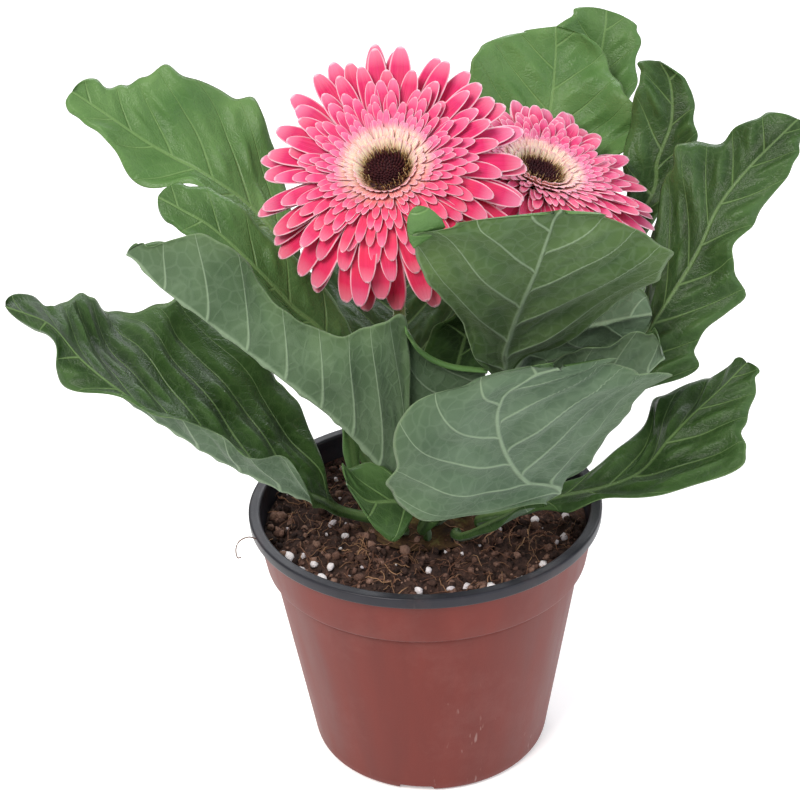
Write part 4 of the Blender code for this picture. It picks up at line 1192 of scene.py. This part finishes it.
def build_pot(finishes):
    """The thin pot, turned about Z, with foot notches and drain holes cut through it."""
    lip_low = POT_HEIGHT - RIM_LIP_HEIGHT
    collar_low = lip_low - COLLAR_HEIGHT
    collar_top = RIM_RADIUS - 2.4
    collar_foot = collar_top - 3.4
    body_top = collar_foot - 2.2
    lip_inside = RIM_RADIUS - RIM_LIP_WIDTH
    outline = rounded_profile(
        [
            (0.0, 0.02, 0),
            (19.0, 0.02, 0.6),
            (21.0, 3.2, 0.8),
            (36.0, 3.2, 0.8),
            (38.0, 0.02, 0.6),
            (43.2, 0.02, 0.8),
            (44.9, 1.2, 0.8),
            (45.5, 3.6, 1.0),
            (BASE_RADIUS, 7.0, 2.0),
            (body_top, collar_low - 2.4, 0.8),
            (body_top - 0.2, collar_low - 0.9, 0.4),
            (collar_foot + 0.3, collar_low - 0.1, 1.0),
            (collar_top - 0.2, lip_low - 0.4, 1.2),
            (collar_top + 0.3, lip_low + 0.35, 0.4),
            (RIM_RADIUS - 0.25, lip_low + 0.35, 0.7),
            (RIM_RADIUS - 0.05, POT_HEIGHT - 0.05, 1.5),
            (RIM_RADIUS - 2.0, POT_HEIGHT - 0.2, 0.6),
            (lip_inside, POT_HEIGHT - 0.3, 1.6),
            (lip_inside - 0.05, lip_low, 1.0),
            (collar_foot - WALL, collar_low, 1.0),
            (body_top - WALL, collar_low - 1.2, 1.0),
            (BASE_RADIUS - WALL, 7.5, 2.0),
            (42.6, FLOOR_TOP, 1.0),
            (0.0, FLOOR_TOP, 0),
        ]
    )
    sides = 224
    # Long straight runs get rows every few millimetres, so that a cut leaves no long thin face.
    dense = [outline[0]]
    for place in outline[1:]:
        last = dense[-1]
        pieces = int(np.hypot(place[0] - last[0], place[1] - last[1]) // 6) + 1
        for k in range(1, pieces):
            dense.append(tuple(last[i] + (place[i] - last[i]) * k / pieces for i in (0, 1)))
        dense.append(place)
    shape = bmesh.new()
    ring = [shape.verts.new((r * MM, 0, h * MM)) for r, h in dense]
    edges = [shape.edges.new((ring[k], ring[k + 1])) for k in range(len(ring) - 1)]
    bmesh.ops.spin(
        shape, geom=ring + edges, cent=(0, 0, 0), axis=(0, 0, 1), angle=tau, steps=sides, use_merge=True
    )
    bmesh.ops.remove_doubles(shape, verts=shape.verts, dist=1e-6)
    bmesh.ops.recalc_face_normals(shape, faces=shape.faces)
    shell = new_object("pot_shell", mesh_from(shape, "pot_shell"))
    tools = bmesh.new()
    for k in range(FOOT_NOTCHES):
        turn = Matrix.Rotation(tau * k / FOOT_NOTCHES + FOOT_NOTCH_TURN, 4, "Z")
        middle = Matrix.Translation((42.0 * MM, 0, 0))
        size = Matrix.Diagonal((16.0 * MM, FOOT_NOTCH_WIDTH * MM, 2 * FOOT_NOTCH_HEIGHT * MM, 1.0))
        made = bmesh.ops.create_cube(tools, size=1.0, matrix=turn @ middle @ size)
        upright = [
            e
            for e in {e for v in made["verts"] for e in v.link_edges}
            if e.verts[0].co.z > 0 and e.verts[1].co.z > 0
        ]
        bmesh.ops.bevel(tools, geom=upright, offset=0.0011, segments=4, affect="EDGES", profile=0.5)
    for k in range(DRAIN_HOLES):
        angle = tau * k / DRAIN_HOLES + DRAIN_HOLE_TURN
        place = Vector((cos(angle), sin(angle), 0)) * DRAIN_HOLE_RING + Vector((0, 0, FLOOR_TOP))
        bmesh.ops.create_cone(
            tools,
            cap_ends=True,
            segments=32,
            radius1=DRAIN_HOLE_RADIUS * MM,
            radius2=DRAIN_HOLE_RADIUS * MM,
            depth=0.0056,
            matrix=Matrix.Translation(place * MM),
        )
    cutter = new_object("pot_cuts", mesh_from(tools, "pot_cuts"))
    cut = shell.modifiers.new("cuts", "BOOLEAN")
    cut.operation = "DIFFERENCE"
    cut.solver = "EXACT"
    cut.object = cutter
    bpy.context.view_layer.update()
    graph = bpy.context.evaluated_depsgraph_get()
    ready = bpy.data.meshes.new_from_object(shell.evaluated_get(graph))
    ready.name = "pot_wall"
    for spent in (shell, cutter):
        bpy.data.objects.remove(spent, do_unlink=True)
    ready.materials.clear()
    for finish in (finishes["terracotta"], finishes["black"]):
        ready.materials.append(finish)
    # The outside of the wall, to tell it from the inside, which is black like the lip.
    heights = [0.0, 7.0, collar_low - 1.2, collar_low + 0.7, lip_low]
    radii = [43.0, BASE_RADIUS, body_top, collar_foot, collar_top]
    for face in ready.polygons:
        radius = face.center.to_2d().length / MM
        height = face.center.z / MM
        inside = height > 4.3 and radius < np.interp(height, heights, radii) - 0.6 * WALL
        face.material_index = 1 if inside or height > lip_low + 0.2 else 0
        face.use_smooth = True
    ready.set_sharp_from_angle(angle=radians(42))
    ride_root(new_object("pot_wall", ready), "pot")


# ---------------------------------------------------------------------------
# Soil and crown


def soil_radius(height):
    """Radius of the pot's inside at a height near the top of the soil."""
    return np.interp(height, [78.5, 95.5], [57.8, 60.6]) - 0.35


SOIL_EDGE = soil_radius(91.0)
CRUMBS = 2600
FIBRES = 620
SMALL_GRAINS = 60


def soil_height(x, y):
    """Height of the soil's even surface, a little higher in the middle."""
    reach = np.hypot(x, y) / SOIL_EDGE
    return SOIL_TOP - 2.0 * np.clip(reach, 0, 1) ** 2


def rough_field(x, y, seed):
    """Uneven ground made of waves of a few sizes, from 2 to 14 mm."""
    chance = np.random.default_rng(seed)
    total = np.zeros(np.shape(x))
    for size, tall in ((14, 0.7), (8, 0.6), (5, 0.5), (3.2, 0.35), (2.2, 0.25)):
        for _ in range(5):
            turn, shift = tau * chance.random(), tau * chance.random()
            total += tall / 2.2 * np.sin(tau * (x * cos(turn) + y * sin(turn)) / size + shift)
    return total


def bed_height(x, y):
    """Height of the soil's uneven surface, which is even where it meets the pot."""
    from_wall = SOIL_EDGE - np.hypot(x, y)
    return soil_height(x, y) + rough_field(x, y, 3) * smooth_step(from_wall, 0, 4) - 0.6


def lump(chance, size, rough, detail=1):
    """A small irregular lump: an icosphere pushed in and out."""
    shape = bmesh.new()
    bmesh.ops.create_icosphere(shape, subdivisions=detail, radius=1.0)
    points = np.array([v.co[:] for v in shape.verts])
    faces = [tuple(v.index for v in f.verts) for f in shape.faces]
    shape.free()
    push = 1 + rough * chance.normal(size=len(points)).clip(-1.6, 1.6)
    stretch = chance.uniform(0.65, 1.25, 3)
    return points * push[:, None] * stretch * size, faces


def turned(chance):
    """A matrix that turns a shape some way round."""
    return np.linalg.qr(chance.normal(size=(3, 3)))[0]


def add_ground(name, points, rows, sides, shade, finish, node):
    """A piece turned about Z from its top down to its foot, whose points each have their own shade."""
    faces = [face[::-1] for face in capped_faces(rows, sides)]
    marks = {"shade": np.stack([shade, shade, shade], axis=-1)}
    add_piece(name, points, faces, [finish], node, marks=marks)


def build_soil(finishes):
    """Peaty soil filled to below the rim, with crumbs, coir fibres and grains of perlite on it."""
    chance = np.random.default_rng(11)
    rings, sides = ((60, 200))
    reach = SOIL_EDGE * np.linspace(0.004, 1, rings) ** 0.9
    c, s = circle(sides)
    x, y = reach[:, None] * c, reach[:, None] * s
    top = np.stack([x, y, bed_height(x, y)], axis=-1).reshape(-1, 3)
    walls = ((82.0, soil_radius(82.0)), (76.0, 54.0), (8.0, 43.8), (5.1, 42.4))
    skirt = [np.stack([radius * c, radius * s, height + 0 * c], axis=-1) for height, radius in walls]
    points = np.concatenate([top, *skirt])
    shade = 0.25 + 0.12 * rough_field(points[:, 0], points[:, 1], 4)
    add_ground("soil_bed", points, rings + 4, sides, shade, finishes["peat"], "soil")

    shapes = [lump(chance, 1.0, 0.27) for _ in range(24)]
    crumbs = Mass()
    for _ in range(CRUMBS):
        size = 0.45 + 1.6 * chance.random() ** 3.0
        where, turn = (SOIL_EDGE - 1.3 * size) * chance.random() ** 0.5, tau * chance.random()
        px, py = where * cos(turn), where * sin(turn)
        points, faces = shapes[chance.integers(24)]
        points = points @ turned(chance) * size
        crumbs.add(points + (px, py, bed_height(px, py) + 0.25 * size), faces, chance.random())
    crumbs.finish("soil_crumbs", finishes["peat"], "soil")

    perlite = Mass()
    # The large grains that lie in the open at the front: place and size.
    spots = [
        (-20, -52, 2.3), (4, -54, 2.6), (22, -49, 2.7), (-3, -49, 1.7), (-26, -50, 1.8), (-14, -53, 1.5),
        (-37, -38, 2.0), (-45, -33, 2.2), (-49, -26, 1.9), (-52, -19, 1.9), (12, -55, 2.1), (18, -53, 2.4),
        (-8, -55, 1.5), (33, -44, 1.9), (-31, -45, 1.3), (41, -34, 1.5), (-40, -29, 1.6), (50, -16, 1.5),
        (-44, -24, 1.4), (8, -47, 1.3), (27, -51, 1.9), (-34, -33, 1.2),
    ]
    for _ in range(SMALL_GRAINS):
        size = 0.5 + 1.1 * chance.random() ** 2
        where, turn = SOIL_EDGE * (0.35 + 0.65 * chance.random()), tau * chance.random()
        spots.append((where * cos(turn), where * sin(turn), size))
    for px, py, size in spots:
        inside = min(1.0, (SOIL_EDGE - 1.5 * size) / np.hypot(px, py))
        px, py = px * inside, py * inside
        points, faces = lump(chance, size, 0.2 if size < 0.9 else 0.12, 1 if size < 0.9 else 2)
        rise = soil_height(px, py) + rough_field(px, py, 3) + 0.2 * size
        perlite.add(points @ turned(chance) + (px, py, rise), faces, 0.35 + 0.65 * chance.random())
    perlite.finish("perlite_grains", finishes["perlite"], "soil")

    fibres = Mass()
    for _ in range(FIBRES):
        where, turn = SOIL_EDGE * 0.94 * chance.random() ** 0.6, tau * chance.random()
        heading = tau * chance.random()
        long = 4 + 15 * chance.random() ** 1.8
        steps = 9
        bend = chance.normal(0, 0.9)
        px, py = where * cos(turn), where * sin(turn)
        path = []
        tilt = chance.normal(0, 0.10)
        for k in range(steps):
            limit = min(1.0, 0.985 * SOIL_EDGE / max(np.hypot(px, py), 1e-6))
            px, py = px * limit, py * limit
            base = soil_height(px, py) + 0.7 * rough_field(px, py, 3)
            path.append((px, py, base + 0.7 + 0.9 * sin(pi * k / (steps - 1)) * chance.random() + tilt * k))
            heading += bend / steps + chance.normal(0, 0.12)
            px, py = px + long / steps * cos(heading), py + long / steps * sin(heading)
        radius = 0.08 + 0.15 * chance.random() ** 2
        points, faces = strand(path, np.full(steps, radius) * np.r_[0.5, np.ones(steps - 2), 0.4], 5)
        fibres.add(points, faces, chance.random())
    # One fibre is caught on the rim at the left and hangs over it in a loose curl.
    curl = [(-55.5, -20.5, 94.5), (-59, -22.5, 98), (-62.6, -24.5, 101), (-66, -25.5, 100.2)]
    curl += [(-67.6, -26.0, 97.2), (-67.2, -27.2, 94.3), (-65.8, -27.8, 94.8)]
    points, faces = strand(smooth_path(curl, np.linspace(0, 6, 40)), 0.22, 6)
    fibres.add(points, faces, 0.35)
    fibres.finish("coir_fibres", finishes["coir"], "soil")


def build_crown(finishes):
    """The rough low mound that the stalks stand on."""
    chance = np.random.default_rng(17)
    rings, sides = 26, 96
    radius = crown_high.x / MM
    reach = radius * np.linspace(0.01, 1, rings)
    c, s = circle(sides)
    x, y = reach[:, None] * c, reach[:, None] * s
    fall = smooth_step(reach, radius * 0.72, radius)[:, None]
    ground = crown_top - 0.15 + 0.22 * rough_field(x, y, 8) * (1 - fall) - 1.9 * fall
    top = np.stack([x, y, np.minimum(ground, crown_top + 0.15)], axis=-1).reshape(-1, 3)
    base = np.stack([radius * c, radius * s, 0 * c + crown_low.z / MM], axis=-1)
    points = np.concatenate([top, base])
    shade = 0.35 + 0.2 * rough_field(points[:, 0], points[:, 1], 9)
    add_ground("crown_mound", points, rings + 1, sides, shade, finishes["crown"], "crown")


# ---------------------------------------------------------------------------
# Build

leaf_finishes = [leaf_upper_side(), leaf_underside()]
flower_finishes = {
    # The long petals: cream-pink at the root, deep pink over most of their length.
    "ray": petal_skin(
        "ray_petal_skin",
        [(0.0, "#F3C9C4"), (0.40, "#DF4A80"), (0.62, "#D22463"), (1.0, "#C61A57")],
        edge="#FCD3E0",
        streak="#BC184E",
        edge_start=0.84,
    ),
    # The short petals: greenish cream round the centre, through blush, to the same pink.
    "floret": petal_skin(
        "floret_petal_skin",
        [
            (0.17, "#F3DFA4"),
            (0.23, "#FFF3D0"),
            (0.31, "#FEE3C8"),
            (0.36, "#EE7DA4"),
            (0.44, "#DC3E75"),
            (0.62, "#D42662"),
        ],
        edge="#FBCBD8",
        streak="#D23C6F",
        edge_start=0.85,
    ),
    # The closed buds in the middle are almost black-red; the hairs round them are brown to straw.
    "heart": speckled(
        "dark_disc_florets",
        [(0.0, "#2A0A10"), (0.35, "#42141A"), (0.5, "#5B3A22"), (0.7, "#9A7A48"), (1.0, "#E3CF98")],
        0.6,
        0.8,
    ),
    # Leathery green scales with a little bloom.
    "bract": speckled(
        "bract_green", [(0.0, "#2F4A22"), (0.5, "#56793C"), (1.0, "#7E9C58")], 0.55, 1.5, sheen=0.2
    ),
    "stem": stalk_skin("scape_skin", "#6E8A4A", "#9AB072"),
    # Short pale hairs that soften the outline of the stem.
    "hair": speckled("stem_hair", [(0.0, "#B9C79B"), (1.0, "#DDE4C8")], 0.6, 2.0),
}
soil_finishes = {
    # Dark moist peat: dull, almost black in the gaps and red-brown on the dry crumbs.
    "peat": speckled(
        "peat",
        [(0.0, "#211614"), (0.4, "#433029"), (0.75, "#654A40"), (1.0, "#876A5C")],
        0.9,
        0.9,
        0.8,
        0.0006,
    ),
    # Perlite: expanded volcanic glass, white, chalky and pitted.
    "perlite": speckled(
        "perlite", [(0.0, "#8F8488"), (0.45, "#C6BCC1"), (1.0, "#EAE5E7")], 0.85, 0.7, 0.9, 0.0007
    ),
    # Coir: tough brown coconut fibre with a faint gloss.
    "coir": speckled("coir_fibre", [(0.0, "#3F281F"), (0.5, "#6E4B3A"), (1.0, "#A07C5C")], 0.75, 0.6),
    # The crown: corky old tissue, from dark brown to a dull green.
    "crown": speckled(
        "crown_bark", [(0.0, "#2C1C12"), (0.5, "#4E3A22"), (1.0, "#6E6A3A")], 0.85, 1.2, 0.8, 0.0008
    ),
}
pot_finishes = {
    "terracotta": moulded_plastic("terracotta_polystyrene", "#60251F", "#6C2C25", 0.44, 0.22),
    "black": moulded_plastic("black_polystyrene", "#1F1F25", "#292930", 0.34, 0.1),
}

build_pot(pot_finishes)
build_soil(soil_finishes)
build_crown(soil_finishes)
for number, (name, leaf) in enumerate(LEAVES.items()):
    build_leaf(name, leaf, number + 1, leaf_finishes)
build_lobes(leaf_finishes)
for number, (name, flower) in enumerate(FLOWERS.items()):
    build_flower(name, flower, flower_finishes, 31 + number)


# ---------------------------------------------------------------------------
# Floor, light and camera


def build_stage():
    """A pale studio floor that gives off a little light, so that it stays white to its far edge."""
    floor = bpy.data.materials.new("studio_floor")
    floor.use_nodes = True
    tree = floor.node_tree
    shader = tree.nodes["Principled BSDF"]
    where = add(tree, "TexCoord").outputs["Object"]
    mottle = add(tree, "TexNoise", inputs={"Vector": where, "Scale": 3.0, "Detail": 2.0})
    paint = add(tree, "ValToRGB", inputs={0: mottle}, stops=[(0.3, "#F3F3F3"), (0.7, "#F6F6F6")])
    tree.links.new(output_of(paint), shader.inputs["Base Color"])
    shader.inputs["Roughness"].default_value = 0.9
    shader.inputs["Emission Color"].default_value = colour("#FFFFFF")
    shader.inputs["Emission Strength"].default_value = 0.28
    shape = bmesh.new()
    bmesh.ops.create_grid(shape, x_segments=2, y_segments=2, size=4.0)
    mesh = mesh_from(shape, "floor")
    mesh.materials.append(floor)
    new_object("floor", mesh)


def add_softbox(name, place, target, size, power, tint):
    """A square soft light that points at its target; sizes are metres and power is watts."""
    light = bpy.data.lights.new(name, "AREA")
    light.shape = "SQUARE"
    light.size = size
    light.energy = power
    light.color = colour(tint)[:3]
    obj = new_object(name, light)
    obj.location = place
    obj.rotation_euler = (Vector(target) - Vector(place)).to_track_quat("-Z", "Y").to_euler()


def build_camera():
    """A long lens a little above the plant, looking down at it."""
    distance = 0.6
    height_angle = radians(31.1)
    yaw, pitch, roll = (radians(degrees) for degrees in (-0.87, 27.6, -2.09))
    forward = Vector((sin(yaw) * cos(pitch), cos(yaw) * cos(pitch), -sin(pitch)))
    right = Vector((cos(yaw), -sin(yaw), 0.0))
    up = right.cross(forward)
    right, up = right * cos(roll) + up * sin(roll), up * cos(roll) - right * sin(roll)
    lens = bpy.data.cameras.new("camera")
    lens.lens = 73.2
    lens.sensor_width = 36.0
    lens.clip_start = 0.01
    obj = new_object("camera", lens)
    turn = Matrix((right, up, -forward)).transposed().to_4x4()
    place = Vector((0.0, -distance * cos(height_angle), 0.1 + distance * sin(height_angle)))
    obj.matrix_world = Matrix.Translation(place) @ turn
    bpy.context.scene.camera = obj


build_stage()
world = bpy.data.worlds.new("studio")
world.use_nodes = True
sky = world.node_tree.nodes["Background"]
sky.inputs["Color"].default_value = colour("#FFFFFF")
sky.inputs["Strength"].default_value = 0.55
bpy.context.scene.world = world
bpy.context.scene.view_settings.view_transform = "Standard"
add_softbox("key_light", (-0.55, -0.75, 1.15), (0, 0, 0.15), 0.6, 18.0, "#FFFAF4")
add_softbox("fill_light", (0.9, -0.5, 0.7), (0, 0, 0.15), 0.8, 5.0, "#F1F6FF")
add_softbox("back_light", (0.2, 0.9, 0.9), (0, 0, 0.2), 0.7, 6.0, "#F6F9FF")
add_softbox("far_light", (0.0, 1.9, 1.5), (0, 2.2, 0.0), 2.0, 12.0, "#FFFFFF")
build_camera()
